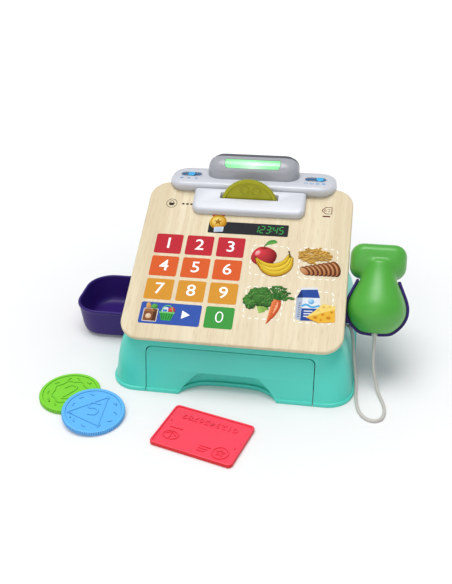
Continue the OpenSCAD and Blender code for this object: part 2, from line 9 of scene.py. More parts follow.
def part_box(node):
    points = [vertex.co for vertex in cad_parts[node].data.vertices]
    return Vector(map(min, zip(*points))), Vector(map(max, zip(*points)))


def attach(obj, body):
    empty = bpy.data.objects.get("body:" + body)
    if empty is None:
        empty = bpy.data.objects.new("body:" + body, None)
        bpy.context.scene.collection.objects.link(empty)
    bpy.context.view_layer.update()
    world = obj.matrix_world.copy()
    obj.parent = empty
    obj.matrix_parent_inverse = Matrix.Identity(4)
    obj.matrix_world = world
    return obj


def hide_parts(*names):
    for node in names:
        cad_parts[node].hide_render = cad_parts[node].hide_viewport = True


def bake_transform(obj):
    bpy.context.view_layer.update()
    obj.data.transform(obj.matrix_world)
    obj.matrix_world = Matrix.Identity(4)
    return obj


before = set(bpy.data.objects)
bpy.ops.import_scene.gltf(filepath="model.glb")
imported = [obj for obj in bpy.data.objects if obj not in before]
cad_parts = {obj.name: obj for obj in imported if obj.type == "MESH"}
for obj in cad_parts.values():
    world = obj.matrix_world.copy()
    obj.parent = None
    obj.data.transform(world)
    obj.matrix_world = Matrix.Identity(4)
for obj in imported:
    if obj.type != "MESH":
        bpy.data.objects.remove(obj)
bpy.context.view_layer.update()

MM = 0.001
random.seed(7)

# ---------------------------------------------------------------- sizes, in millimetres
# They repeat the CAD model's own; the base's front, depth and half width are read from the imported
# frame's box.
base_low, base_high = (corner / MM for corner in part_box("base_housing"))
FRONT = base_low.y
BASE_D = base_high.y - base_low.y
HALF_BASE = base_high.x
BASE_R = 28
WALL = 2.6
PANEL_W, PANEL_L, PANEL_T = 224.6, 200, 5
PANEL_TILT = math.radians(27.8)
PANEL_Z = 64.45
DRAWER_W, DRAWER_H, DRAWER_R = 171, 47.6, 6
SLOT_HALF, SLOT_Y0, SLOT_Y1 = 31.75, 153.4, 160.5
DECK_TOP, DECK_HALF = 165, 93
SWITCH_X, SWITCH_Y, SWITCH_L, SWITCH_W = 69.5, 187, 23.5, 12
READER_HALF, PLATE_TOP = 51, 182.2
SWIPE_Y0, SWIPE_Y1 = 196, 202
COIN_R, COIN_T = 31.3, 5
CARD_W, CARD_D = 85.6, 59
SCANNER_AT = Vector((142.6, FRONT + 52, 59))
SCANNER_TILT = math.radians(60)
CORD_D = 3.4
CORD_ROUTE = [
    (112.4, 72, 53), (114.4, 72, 53), (117, 71, 52.2), (120, 68, 48), (121.8, 63.5, 40),
    (123, 58, 30.6), (124.6, 51.6, 20.4), (126.4, 45, 11.6), (127.8, 38, 5),
    (128, 30, 2), (128.4, 20, 1.8), (129.4, 8, 1.8), (132.2, -3.6, 1.8), (137.6, -11.6, 1.8),
    (144.2, -14.8, 1.8), (150.4, -13.6, 1.8), (154.8, -8.2, 1.8), (156.6, 2, 1.8),
    (155.2, 13, 1.8), (152, 24, 2), (149.4, 31.6, 4), (147.6, 36.2, 9), (145.4, 39.2, 16.6),
    (143.8, 41.6, 24.6), (143.1, 43.6, 33), (142.8, 45.1, 41), (142.7, 46.6, 48),
    (142.6, 48.4, 52.75), (142.6, 50.7, 56.75)]

# Places in the panel's own frame (X across, Y up the slope, Z out of its face) and the scanner's
ON_PANEL = Matrix.Translation((0, FRONT + 3, PANEL_Z)) @ Matrix.Rotation(PANEL_TILT, 4, "X")
IN_CRADLE = Matrix.Translation(SCANNER_AT) @ Matrix.Rotation(SCANNER_TILT - math.pi / 2, 4, "X")

scene = bpy.context.scene
scene.view_settings.view_transform = "Standard"


# ---------------------------------------------------------------- camera, floor and light
def look_frame(yaw, pitch, roll):
    """Camera axes from its heading, downward pitch and roll, in degrees."""
    yaw, pitch, roll = (math.radians(a) for a in (yaw, pitch, roll))
    forward = Vector((-math.sin(yaw) * math.cos(pitch), math.cos(yaw) * math.cos(pitch),
                      -math.sin(pitch)))
    right = Vector((math.cos(yaw), math.sin(yaw), 0))
    up = right.cross(forward)
    side = math.cos(roll) * right + math.sin(roll) * up
    top = -math.sin(roll) * right + math.cos(roll) * up
    return Matrix((side, top, -forward)).transposed().to_4x4()


def add_camera():
    data = bpy.data.cameras.new("camera")
    data.lens = 47.18
    data.sensor_width = 36
    camera = bpy.data.objects.new("camera", data)
    scene.collection.objects.link(camera)
    place = Matrix.Translation(Vector((111.8, FRONT - 601.9, 494.3)) * MM)
    camera.matrix_world = place @ look_frame(10.445, 30.974, -1.338)
    scene.camera = camera


def add_area_light(name, at, aim, size, power):
    data = bpy.data.lights.new(name, "AREA")
    data.shape = "RECTANGLE"
    data.size, data.size_y = size
    data.energy = power
    light = bpy.data.objects.new(name, data)
    scene.collection.objects.link(light)
    light.location = at
    light.rotation_euler = (Vector(aim) - Vector(at)).to_track_quat("-Z", "Y").to_euler()


def add_world():
    world = bpy.data.worlds.new("studio")
    scene.world = world
    world.use_nodes = True
    tree = world.node_tree
    room = tree.nodes["Background"]
    room.inputs["Color"].default_value = (0.96, 0.98, 1, 1)
    room.inputs["Strength"].default_value = 0.42
    backdrop = tree.nodes.new("ShaderNodeBackground")
    backdrop.inputs["Color"].default_value = (1, 1, 1, 1)
    backdrop.inputs["Strength"].default_value = 1.0
    seen = tree.nodes.new("ShaderNodeLightPath")
    chooser = tree.nodes.new("ShaderNodeMixShader")
    tree.links.new(seen.outputs["Is Camera Ray"], chooser.inputs[0])
    tree.links.new(room.outputs[0], chooser.inputs[1])
    tree.links.new(backdrop.outputs[0], chooser.inputs[2])
    tree.links.new(chooser.outputs[0], tree.nodes["World Output"].inputs["Surface"])


def add_sun(name, direction, strength, angle):
    data = bpy.data.lights.new(name, "SUN")
    data.energy = strength
    data.angle = math.radians(angle)
    light = bpy.data.objects.new(name, data)
    scene.collection.objects.link(light)
    light.rotation_euler = Vector(direction).to_track_quat("-Z", "Y").to_euler()


def add_floor():
    """Pale floor, lit up more away from the object, as a studio's sweep is."""
    bpy.ops.mesh.primitive_plane_add(size=12)
    floor = bpy.context.object
    floor.name = "studio_floor"
    paint = plastic("floor_paint", (0.71, 0.71, 0.712), rough=0.7, speckle=0.006, bump=0.0,
                    glow=((1, 1, 1), 0.12))
    tree = paint.node_tree
    nearness = tree.nodes.new("ShaderNodeTexGradient")
    nearness.gradient_type = "SPHERICAL"
    tree.links.new(object_coordinates(tree), nearness.inputs["Vector"])
    tree.links.new(to_range(tree, nearness.outputs["Fac"], 0.62, -0.02),
                   tree.nodes["Principled BSDF"].inputs["Emission Strength"])
    floor.data.materials.append(paint)


# ---------------------------------------------------------------- materials
def new_material(name):
    material = bpy.data.materials.new(name)
    material.use_nodes = True
    tree = material.node_tree
    shader = tree.nodes["Principled BSDF"]
    return material, tree, shader


def noise(tree, vector, scale, detail=3.0, rough=0.5):
    made = tree.nodes.new("ShaderNodeTexNoise")
    made.inputs["Scale"].default_value = scale
    made.inputs["Detail"].default_value = detail
    made.inputs["Roughness"].default_value = rough
    tree.links.new(vector, made.inputs["Vector"])
    return made.outputs["Fac"]


def ramp(tree, fac, stops):
    made = tree.nodes.new("ShaderNodeValToRGB")
    elements = made.color_ramp.elements
    while len(elements) < len(stops):
        elements.new(0.5)
    for element, (place, colour) in zip(elements, stops):
        element.position = place
        element.color = (*colour, 1)
    tree.links.new(fac, made.inputs["Fac"])
    return made.outputs["Color"]


def to_range(tree, fac, low, high):
    made = tree.nodes.new("ShaderNodeMapRange")
    made.inputs["To Min"].default_value = low
    made.inputs["To Max"].default_value = high
    tree.links.new(fac, made.inputs["Value"])
    return made.outputs["Result"]


def mix(tree, fac, a, b, blend="MIX"):
    """Colour mix; each of fac, a and b is a socket, or a plain value."""
    made = tree.nodes.new("ShaderNodeMix")
    made.data_type = "RGBA"
    made.blend_type = blend
    for value, socket in ((fac, 0), (a, 6), (b, 7)):
        if isinstance(value, (int, float)):
            made.inputs[socket].default_value = value
        elif isinstance(value, tuple):
            made.inputs[socket].default_value = (*value, 1)
        else:
            tree.links.new(value, made.inputs[socket])
    return made.outputs[2]


def linear(colour):
    """Linear colour from a hex code; a colour that is already linear stays as it is."""
    if not isinstance(colour, str):
        return colour
    values = [int(colour[i:i + 2], 16) / 255 for i in (1, 3, 5)]
    return tuple(c / 12.92 if c <= 0.04045 else ((c + 0.055) / 1.055) ** 2.4 for c in values)


def shade(colour, amount):
    return tuple(min(1, channel * amount) for channel in linear(colour))


def object_coordinates(tree):
    return tree.nodes.new("ShaderNodeTexCoord").outputs["Object"]


def add_bump(tree, shader, height, strength, distance):
    made = tree.nodes.new("ShaderNodeBump")
    made.inputs["Strength"].default_value = strength
    made.inputs["Distance"].default_value = distance
    tree.links.new(height, made.inputs["Height"])
    tree.links.new(made.outputs["Normal"], shader.inputs["Normal"])


def plastic(name, colour, rough=0.3, speckle=0.03, grain=900, bump=0.05, coat=0.0, glow=None,
            sheen=0.5, coat_rough=0.12):
    """Moulded plastic: slight mottling, fine spark-eroded grain, convex edges a little lighter as a
    painted highlight.
    """
    material, tree, shader = new_material(name)
    place = object_coordinates(tree)
    broad = noise(tree, place, 14, 2)
    tint = ramp(tree, broad, [(0.3, shade(colour, 1 - speckle)), (0.7, shade(colour, 1 + speckle))])
    # Painted highlight: convex edges, found from pointiness, are mixed a little towards a lighter
    # copy of the colour.
    edge = tree.nodes.new("ShaderNodeNewGeometry").outputs["Pointiness"]
    edge = to_range(tree, edge, -6.0, 8.0)
    tint = mix(tree, ramp(tree, edge, [(0.9, (0, 0, 0)), (1.0, (0.06, 0.06, 0.06))]), tint,
               shade(colour, 1.35))
    tree.links.new(tint, shader.inputs["Base Color"])
    fine = noise(tree, place, grain, 4, 0.6)
    tree.links.new(to_range(tree, noise(tree, place, 60, 4), rough - 0.05, rough + 0.06),
                   shader.inputs["Roughness"])
    add_bump(tree, shader, fine, bump, 0.0004)
    shader.inputs["Specular IOR Level"].default_value = sheen
    if coat:
        shader.inputs["Coat Weight"].default_value = coat
        shader.inputs["Coat Roughness"].default_value = coat_rough
    if glow:
        shader.inputs["Emission Color"].default_value = (*glow[0], 1)
        shader.inputs["Emission Strength"].default_value = glow[1]
    return material


def lit_and_shaded(name, face, shaded_wall_colour):
    """Colour for a moulded toy's flat faces, and a darker copy of it as painted shade on its side
    walls.
    """
    return (plastic(name, face, 0.34, 0.02, sheen=0.35),
            plastic(name + "_painted_shade", shaded_wall_colour, 0.42, 0.02, sheen=0.3))


def lit_window():
    """Pale green lens, brightest in front of the middle light."""
    material = plastic("window_green", "#7FD890", 0.14, 0.02, coat=0.3)
    tree = material.node_tree
    shader = tree.nodes["Principled BSDF"]
    centre = tree.nodes.new("ShaderNodeMapping")
    centre.vector_type = "POINT"
    middle = Vector((0, FRONT + 182, 178.5)) * MM
    centre.inputs["Location"].default_value = (-middle.x * 34, -middle.y * 60, -middle.z * 90)
    centre.inputs["Scale"].default_value = (34, 60, 90)
    tree.links.new(object_coordinates(tree), centre.inputs["Vector"])
    spot = tree.nodes.new("ShaderNodeTexGradient")
    spot.gradient_type = "SPHERICAL"
    tree.links.new(centre.outputs["Vector"], spot.inputs["Vector"])
    tree.links.new(ramp(tree, spot.outputs["Fac"], [(0.0, (0.10, 0.30, 0.13)),
                                                    (0.45, (0.22, 0.55, 0.27)),
                                                    (1.0, (0.85, 1.0, 0.88))]),
                   shader.inputs["Emission Color"])
    shader.inputs["Emission Strength"].default_value = 0.62
    return material


def metal(name, colour, rough=0.35):
    material, tree, shader = new_material(name)
    place = object_coordinates(tree)
    tint = ramp(tree, noise(tree, place, 220, 3),
                [(0.35, shade(colour, 0.85)), (0.7, linear(colour))])
    tree.links.new(tint, shader.inputs["Base Color"])
    shader.inputs["Metallic"].default_value = 1
    tree.links.new(to_range(tree, noise(tree, place, 500, 3), rough - 0.08, rough + 0.12),
                   shader.inputs["Roughness"])
    add_bump(tree, shader, noise(tree, place, 1400, 2), 0.06, 0.0003)
    return material


def beech():
    """Pale beech: straight grain up the panel, fine darker flecks, broad tone changes."""
    material, tree, shader = new_material("beech")
    turn = tree.nodes.new("ShaderNodeMapping")
    turn.vector_type = "TEXTURE"
    turn.inputs["Rotation"].default_value = (PANEL_TILT, 0, 0)
    tree.links.new(object_coordinates(tree), turn.inputs["Vector"])

    def stretched(across, along):
        made = tree.nodes.new("ShaderNodeMapping")
        made.inputs["Scale"].default_value = (across, along, across)
        tree.links.new(turn.outputs["Vector"], made.inputs["Vector"])
        return made.outputs["Vector"]

    broad = noise(tree, stretched(38, 3.2), 1, 3, 0.55)
    streak = noise(tree, stretched(210, 7), 1, 4, 0.6)
    fleck = noise(tree, stretched(900, 70), 1, 2, 0.5)
    base = ramp(tree, broad, [(0.32, (0.60, 0.505, 0.33)), (0.5, (0.655, 0.565, 0.385)),
                              (0.7, (0.70, 0.615, 0.44))])
    base = mix(tree, ramp(tree, streak, [(0.40, (0.5, 0.5, 0.5)), (0.62, (0, 0, 0))]), base,
               (0.56, 0.44, 0.27))
    base = mix(tree, ramp(tree, fleck, [(0.30, (0.5, 0.5, 0.5)), (0.42, (0, 0, 0))]), base,
               (0.50, 0.37, 0.22))
    tree.links.new(base, shader.inputs["Base Color"])
    tree.links.new(to_range(tree, streak, 0.42, 0.56), shader.inputs["Roughness"])
    add_bump(tree, shader, fleck, 0.10, 0.0003)
    return material


def painted(name):
    """Screen printing: takes its tints from the piece's own colour layer, with ink mottle."""
    material, tree, shader = new_material(name)
    ink = tree.nodes.new("ShaderNodeVertexColor")
    ink.layer_name = "ink"
    place = object_coordinates(tree)
    mottle = ramp(tree, noise(tree, place, 420, 3),
                  [(0.3, (0.71, 0.71, 0.71)), (0.7, (0.78, 0.78, 0.78))])
    tree.links.new(mix(tree, 1.0, ink.outputs["Color"], mottle, "MULTIPLY"),
                   shader.inputs["Base Color"])
    tree.links.new(to_range(tree, noise(tree, place, 90, 3), 0.39, 0.51),
                   shader.inputs["Roughness"])
    add_bump(tree, shader, noise(tree, place, 1500, 2), 0.03, 0.0002)
    shader.inputs["Specular IOR Level"].default_value = 0.05
    return material


# ---------------------------------------------------------------- mesh helpers (millimetres in)
def mesh_object(name, points, faces, place=None):
    mesh = bpy.data.meshes.new(name)
    place = place or Matrix.Identity(4)
    mesh.from_pydata([(place @ Vector(p)) * MM for p in points], [], faces)
    mesh.update()
    made = bpy.data.objects.new(name, mesh)
    scene.collection.objects.link(made)
    tidy = bmesh.new()
    tidy.from_mesh(mesh)
    bmesh.ops.recalc_face_normals(tidy, faces=tidy.faces)
    tidy.to_mesh(mesh)
    tidy.free()
    return made


def round_rect(x0, x1, y0, y1, r, steps=12, r_right=None):
    """Outline of a rectangle with round corners, anticlockwise from the lower right."""
    rr = r if r_right is None else r_right
    corners = ((x1 - rr, y0 + rr, rr, -90), (x1 - rr, y1 - rr, rr, 0),
               (x0 + r, y1 - r, r, 90), (x0 + r, y0 + r, r, 180))
    return [(cx + cr * math.cos(math.radians(turn + 90 * k / steps)),
             cy + cr * math.sin(math.radians(turn + 90 * k / steps)))
            for cx, cy, cr, turn in corners for k in range(steps + 1)]


def skin(name, rings, place=None):
    """Closed solid with quads between rings of equal length and a cap at each end."""
    count = len(rings[0])
    points = [p for ring in rings for p in ring]
    faces = []
    for a in range(0, len(points) - count, count):
        b = a + count
        faces += [(a + k, a + (k + 1) % count, b + (k + 1) % count, b + k) for k in range(count)]
    faces += [tuple(reversed(range(count))), tuple(range(len(points) - count, len(points)))]
    return mesh_object(name, points, faces, place)


def prism(name, outline, low, high, place=None):
    return skin(name, [[(x, y, z) for x, y in outline] for z in (low, high)], place)


def box_mesh(name, x0, x1, y0, y1, z0, z1, place=None):
    return prism(name, [(x0, y0), (x1, y0), (x1, y1), (x0, y1)], z0, z1, place)


def circle(r, sides):
    return [(r * math.cos(math.tau * k / sides), r * math.sin(math.tau * k / sides))
            for k in range(sides)]


def disc(name, r, low, high, place=None, sides=48):
    return prism(name, circle(r, sides), low, high, place)


def revolve(name, profile, place=None, sides=64):
    """Closed solid from (radius, height) pairs; a radius of zero becomes one point on the axis."""
    points, rows = [], []
    for r, z in profile:
        if r < 1e-6:
            rows.append([len(points)] * sides)
            points.append((0, 0, z))
        else:
            rows.append(list(range(len(points), len(points) + sides)))
            points += [(x, y, z) for x, y in circle(r, sides)]
    faces = []
    for low, high in zip(rows, rows[1:]):
        for k in range(sides):
            quad = (low[k], low[(k + 1) % sides], high[(k + 1) % sides], high[k])
            faces.append(tuple(dict.fromkeys(quad)))
    return mesh_object(name, points, [f for f in faces if len(f) > 2], place)


def smooth_curve(points, steps):
    """Catmull-Rom curve through the points."""
    result = []
    last = len(points) - 1
    for i in range(last):
        a, b, c, d = (Vector(points[j]) for j in (max(i - 1, 0), i, i + 1, min(i + 2, last)))
        for k in range(steps):
            t = k / steps
            result.append(0.5 * ((2 * b) + (c - a) * t + (2 * a - 5 * b + 4 * c - d) * t * t
                                 + (3 * b - a - 3 * c + d) * t ** 3))
    return result + [Vector(points[last])]


def interpolate(rows, steps):
    """Smooth rows of numbers: each stretch of the table is divided into steps."""
    fine = []
    last = len(rows) - 1
    for i in range(last):
        a, b, c, d = (rows[j] for j in (max(i - 1, 0), i, i + 1, min(i + 2, last)))
        for k in range(steps):
            t = k / steps
            fine.append([0.5 * (2 * q + (r - p) * t + (2 * p - 5 * q + 4 * r - s) * t * t
                                + (3 * q - p - 3 * r + s) * t ** 3)
                         for p, q, r, s in zip(a, b, c, d)])
    return fine + [list(rows[last])]


def run_modifier(piece, kind, **values):
    made = piece.modifiers.new(kind.lower(), kind)
    for key, value in values.items():
        setattr(made, key, value)
    return made


def apply_all(piece):
    graph = bpy.context.evaluated_depsgraph_get()
    mesh = bpy.data.meshes.new_from_object(piece.evaluated_get(graph))
    piece.modifiers.clear()
    old = piece.data
    piece.data = mesh
    bpy.data.meshes.remove(old)
    return piece


def combine(piece, cutters, operation):
    for cutter in cutters:
        run_modifier(piece, "BOOLEAN", object=cutter, operation=operation, solver="EXACT")
        apply_all(piece)
        bpy.data.objects.remove(cutter)
    return piece


def cut(piece, *cutters):
    return combine(piece, cutters, "DIFFERENCE")


def keep(piece, *cutters):
    return combine(piece, cutters, "INTERSECT")


def add(piece, *others):
    return combine(piece, others, "UNION")


def round_edges(piece, width, segments=3, angle=38):
    run_modifier(piece, "BEVEL", width=width * MM, segments=segments, limit_method="ANGLE",
                 angle_limit=math.radians(angle), harden_normals=False)
    return apply_all(piece)


def smooth_shading(piece, angle=32):
    for face in piece.data.polygons:
        face.use_smooth = True
    piece.data.set_sharp_from_angle(angle=math.radians(angle))


def join(name, pieces):
    """One object from several meshes, keeping their materials."""
    merged = bmesh.new()
    materials = []
    ink = merged.loops.layers.float_color.new("ink")
    for piece in pieces:
        start = len(merged.faces)
        offset = []
        for material in piece.data.materials:
            if material not in materials:
                materials.append(material)
            offset.append(materials.index(material))
        merged.from_mesh(piece.data)
        merged.faces.ensure_lookup_table()
        for face in merged.faces[start:]:
            face.material_index = offset[face.material_index] if offset else 0
        bpy.data.objects.remove(piece)
    mesh = bpy.data.meshes.new(name)
    merged.to_mesh(mesh)
    merged.free()
    for material in materials:
        mesh.materials.append(material)
    made = bpy.data.objects.new(name, mesh)
    scene.collection.objects.link(made)
    return made


def finish_piece(piece, body, replaced, angle=32):
    """Shades a whole piece and says its body and the CAD nodes it stands for."""
    smooth_shading(piece, angle)
    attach(piece, body)
    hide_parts(*replaced)


def dress(piece, material, body, replaced, angle=32):
    """Finishes a piece that is all of one material; parts in a list are joined first."""
    if isinstance(piece, list):
        piece = join(piece[0].name, piece)
    piece.data.materials.clear()
    piece.data.materials.append(material)
    finish_piece(piece, body, replaced, angle)


def block(name, x0, x1, y0, y1, z0, z1):
    """Box with its Y measured from the base's front."""
    return box_mesh(name, x0, x1, FRONT + y0, FRONT + y1, z0, z1)


def arch(half, low, high, r, steps):
    """Outline in X and Z of a slab whose two upper corners are round."""
    arc = [(r * math.cos(math.pi / 2 * k / steps), r * math.sin(math.pi / 2 * k / steps))
           for k in range(steps + 1)]
    return ([(-half, low), (half, low)] + [(half - r + a, high - r + b) for a, b in arc]
            + [(r - half - a, high - r + b) for a, b in reversed(arc)])


def across(name, outline, y0, y1, shift=0):
    """Solid from an outline in X and Z, between two places along Y from the base's front."""
    return skin(name, [[(x + shift, FRONT + y, z) for x, z in outline] for y in (y0, y1)])


def rod_y(name, r, x, y0, y1, z, sides=48):
    place = Matrix.Translation((x, FRONT + y0, z)) @ Matrix.Rotation(-math.pi / 2, 4, "X")
    return disc(name, r, 0, y1 - y0, place, sides)


def above_panel(name, depth):
    return box_mesh(name, -220, 220, -120, 360, -depth, 320, ON_PANEL)


# ---------------------------------------------------------------- base housing and drawer
SKIRT = [
    (0, 0, 0, 0, 0), (3.2, 0, 0, 0, 0), (3.8, 0.3, 0.3, 0.3, 0), (4.1, 1.5, 1.9, 1.6, 1),
    (9, 2.6, 3.4, 3, 2), (16, 3.8, 5.2, 4.6, 3), (26, 5.2, 7.6, 6.4, 4), (36, 7.4, 10.2, 8, 5),
    (44, 9.8, 12.4, 9.2, 6), (50, 12.6, 14.2, 9.8, 7), (55, 15.4, 16, 10, 8),
    (61, 17.2, 18, 10, 8), (84, 21, 26, 10, 8), (140, 34, 40, 10, 10)]


def base_loft(name, inset, top=140):
    rows = SKIRT[:3] + interpolate(SKIRT[3:], 4)
    rings = []
    for z, side, y0, y1, r in rows:
        outline = round_rect(side + inset - HALF_BASE, HALF_BASE - side - inset, FRONT + y0 + inset,
                             FRONT + BASE_D - y1 - inset, BASE_R - r - inset, 14)
        rings.append([(x, y, min(z, top)) for x, y in outline])
    if inset:
        rings.insert(0, [(x, y, -3) for x, y, z in rings[0]])
    return skin(name, rings)


def drawer_block(gap):
    return across("cutter", arch(DRAWER_W / 2 + gap, -10, DRAWER_H + gap, DRAWER_R, 10), -20, 20)


def make_housing(teal):
    slits = [block("cutter", 44, 80, 200, 214, 81 + 5 * k, 83.4 + 5 * k) for k in range(7)]
    gland = disc("cutter", 3.4, 0, 20, Matrix.Translation((100, FRONT + 72, 53))
                 @ Matrix.Rotation(math.pi / 2, 4, "Y"), 32)
    housing = cut(base_loft("base_shell", 0), above_panel("cutter", PANEL_T),
                  base_loft("cutter", WALL, 137.4), drawer_block(0.8),
                  block("cutter", -84, 84, 164, 203.4, 130, 150),
                  block("cutter", -36.4, 36.4, 200, 212, 68, 130), *slits, gland,
                  block("cutter", 100, 130, 61.6, 86.4, 61.6, 77.4),
                  block("cutter", -130, -104, 105.6, 146.4, 28.6, 34.4))
    round_edges(housing, 0.4, 2, 48)
    dress(housing, teal, "register", ("base_housing",))


NOTCH_SIDE = [(50.5, -10), (50.5, 1), (48.6, 4.6), (44.6, 9.4), (39, 15.8), (34.6, 20.2),
              (30.6, 22.8), (26, 24)]
LIP = [(52.6, 0.6), (48.6, 3.4), (44.6, 8), (38, 13.2), (29, 17), (16, 18.6), (0, 19)]


def mirrored(points):
    return list(points) + [(-x, y) for x, y in reversed(points) if x]


def curved_wall(name, z0, z1, near, far):
    """Wall that follows the finger pull's plan curve, from near to far behind it."""
    curve = smooth_curve([Vector((x, y, 0)) for x, y in mirrored(LIP)], 3)
    outline = [(p.x - 1, FRONT + p.y + near) for p in curve]
    outline += [(p.x * 1.055 - 1, FRONT + p.y + far) for p in reversed(curve)]
    return prism(name, outline, z0, z1)


def make_drawer(teal, shade_teal):
    notch = mirrored(NOTCH_SIDE)
    face = cut(base_loft("drawer_front_face", 0), base_loft("cutter", WALL, 139),
               block("cutter", -60, 60, 4.8, 30, -1, 5.6))
    face = keep(face, drawer_block(0), block("cutter", -100, 100, -1, 24, 0, 60))
    cut(face, across("cutter", notch, -10, 30, -1))
    round_edges(face, 0.45, 2, 48)
    lip = curved_wall("drawer_lip", 0, 4.8, 0, 2.2)
    round_edges(lip, 0.5, 2, 48)
    pocket = keep(curved_wall("pocket_wall", 4.4, 26, 2.6, 4.0), base_loft("cutter", 1.4, 139))
    ceiling = keep(skin("pocket_ceiling", [[(x - 1, FRONT + y, z + lift) for lift in (0.4, 2.0)
                                            for x, z in (notch[1:-1] if lift < 1
                                                         else notch[-2:0:-1])]
                                           for y in (4, 24.6)]), base_loft("cutter", 1.4, 139))
    ribs = [block("rib", x - 0.5, x + 0.5, 17.6 if abs(x + 1) > 20 else 19.6, 22.6, 16, 24.4)
            for x in (-33, -13, 11, 31)]
    ties = [block("tie", x - 5, x + 5, 11, 25, 8, 36) for x in (-70, 70)]
    dress([face, lip, pocket, ceiling, *ribs, *ties], teal, "drawer",
          ("drawer_front",))

    box = block("drawer_tray", -82, 82, 25, 176, 4.4, 43)
    hollow = block("cutter", -80, 80, 27, 174, 6.4, 46)
    round_edges(hollow, 3, 4, 60)
    cut(box, hollow)
    round_edges(box, 0.6, 2, 60)
    stop = block("stop", -8, 8, 174, 176, 42.8, 45.8)
    dress([box, stop], shade_teal, "drawer", ("drawer_box",))


# ---------------------------------------------------------------- touch panel and its printing
def make_panel(wood):
    turns = [math.radians(15 * k) for k in range(7)]
    rings = [(-PANEL_T + 1.2 * (1 - math.cos(t)), 1.2 * (1 - math.sin(t))) for t in turns]
    rings += [(-1.8 * (1 - math.sin(t)), 1.8 * (1 - math.cos(t))) for t in turns]
    stack = [[(x, y, n) for x, y in round_rect(inset - PANEL_W / 2, PANEL_W / 2 - inset, inset,
                                               PANEL_L - inset, 21.2 - inset, 16)]
             for n, inset in rings]
    panel = cut(skin("wooden_panel", stack, ON_PANEL), coin_slot_cutter())
    dress(panel, wood, "register", ("touch_panel",), 40)


PRINTS = []


def ink_on(piece, tone_at):
    """Adds a print to the panel's printing; tone_at gives the colour of each of its points."""
    layer = piece.data.color_attributes.new("ink", "FLOAT_COLOR", "CORNER")
    values = []
    for corner in piece.data.loops:
        values += (*tone_at(corner.vertex_index), 1)
    layer.data.foreach_set("color", values)
    PRINTS.append(piece)
    return piece


def level(k):
    """Height of the k-th layer of ink."""
    return 0.10 + 0.04 * k


def flat(name, outline, height, tint, place=ON_PANEL):
    """Printed patch: a very thin slab whose outline is given in the panel's frame."""
    ink = linear(tint)
    return ink_on(prism(name, outline, -0.05, height, place), lambda point: ink)


def rounded(name, u0, u1, v0, v1, r, height, tint, place=ON_PANEL):
    return flat(name, round_rect(u0, u1, v0, v1, r, 6), height, tint, place)


def edges_along(path, widths, steps):
    """Left and right edges of a smooth line, with a width at each of the path's points."""
    line = smooth_curve([Vector((u, v, 0)) for u, v in path], steps)
    spread = [w[0] for w in interpolate([[w] for w in widths], steps)]
    pairs = []
    for i, point in enumerate(line):
        ahead = line[min(i + 1, len(line) - 1)] - line[max(i - 1, 0)]
        side = Vector((-ahead.y, ahead.x, 0)).normalized() * max(0.03, spread[i] / 2)
        pairs.append((point + side, point - side))
    return pairs


def ribbon(name, path, widths, height, tint, steps=4, place=ON_PANEL):
    """Printed stroke along a smooth path; a pair of tints is its left and its right edge's."""
    if isinstance(widths, (int, float)):
        widths = [widths] * len(path)
    rings = [[(a.x, a.y, -0.05), (b.x, b.y, -0.05), (b.x, b.y, height), (a.x, a.y, height)]
             for a, b in edges_along(path, widths, steps)]
    left, right = (linear(t) for t in (tint if len(tint) == 2 else (tint, tint)))
    return ink_on(skin(name, rings, place), lambda point: left if point % 4 in (0, 3) else right)


def blend_colours(a, b, t):
    return tuple(p + (q - p) * t for p, q in zip(a, b))


def blob(name, outline, height, dark, light, bias=(-0.35, 0.45)):
    """Printed round thing: shaded from a light spot to a dark rim."""
    dark, light = linear(dark), linear(light)
    count = len(outline)
    cu = sum(u for u, v in outline) / count
    cv = sum(v for u, v in outline) / count
    size = max(max(abs(u - cu), abs(v - cv)) for u, v in outline)
    points, tones = [], []
    for share in (1, 1, 0.88, 0.7, 0.5, 0.28):
        low = not points
        for u, v in outline:
            du, dv = (u - cu) * share, (v - cv) * share
            points.append((cu + du, cv + dv, -0.05 if low else height))
            far = math.hypot(du / size - bias[0], dv / size - bias[1]) / 1.45
            tones.append(blend_colours(light, dark, min(1, max(0, far) ** 1.25)))
    points.append((cu, cv, height))
    tones.append(blend_colours(light, dark, min(1, math.hypot(*bias) / 1.45)))
    faces = [tuple(reversed(range(count)))]
    for i in range(5):
        a, b = i * count, i * count + count
        faces += [(a + k, a + (k + 1) % count, b + (k + 1) % count, b + k) for k in range(count)]
    faces += [(5 * count + k, 5 * count + (k + 1) % count, len(points) - 1) for k in range(count)]
    return ink_on(mesh_object(name, points, faces, ON_PANEL), tones.__getitem__)


def ring_points(cu, cv, ru, rv=None, count=28, wobble=0.0, waves=5, turn=0.0):
    rv = ru if rv is None else rv
    points = []
    for k in range(count):
        a = math.tau * k / count
        grow = 1 + wobble * math.sin(waves * a + turn * 3)
        du, dv = ru * grow * math.cos(a), rv * grow * math.sin(a)
        points.append((cu + du * math.cos(turn) - dv * math.sin(turn),
                       cv + du * math.sin(turn) + dv * math.cos(turn)))
    return points


def lettering(name, words, u, v, size, height, tint, place=ON_PANEL, bold=0.0, stretch=1.0,
              depth=0.1, turn=0.0):
    """Plain figures as thin solids centred on (u, v), printed unless the tint is None."""
    curve = bpy.data.curves.new(name, "FONT")
    curve.body = words
    curve.size = size
    curve.extrude = depth / 2
    curve.offset = bold
    curve.align_x, curve.align_y = "CENTER", "CENTER"
    curve.resolution_u = 4
    holder = bpy.data.objects.new(name, curve)
    scene.collection.objects.link(holder)
    mesh = bpy.data.meshes.new_from_object(holder.evaluated_get(
        bpy.context.evaluated_depsgraph_get()))
    bpy.data.objects.remove(holder)
    mesh.transform(Matrix.Scale(MM, 4) @ place @ Matrix.Translation((u, v, height - depth / 2))
                   @ Matrix.Rotation(turn, 4, "Z") @ Matrix.Diagonal((stretch, 1, 1, 1)))
    made = bpy.data.objects.new(name, mesh)
    scene.collection.objects.link(made)
    if tint is None:
        return made
    ink = linear(tint)
    return ink_on(made, lambda point: ink)


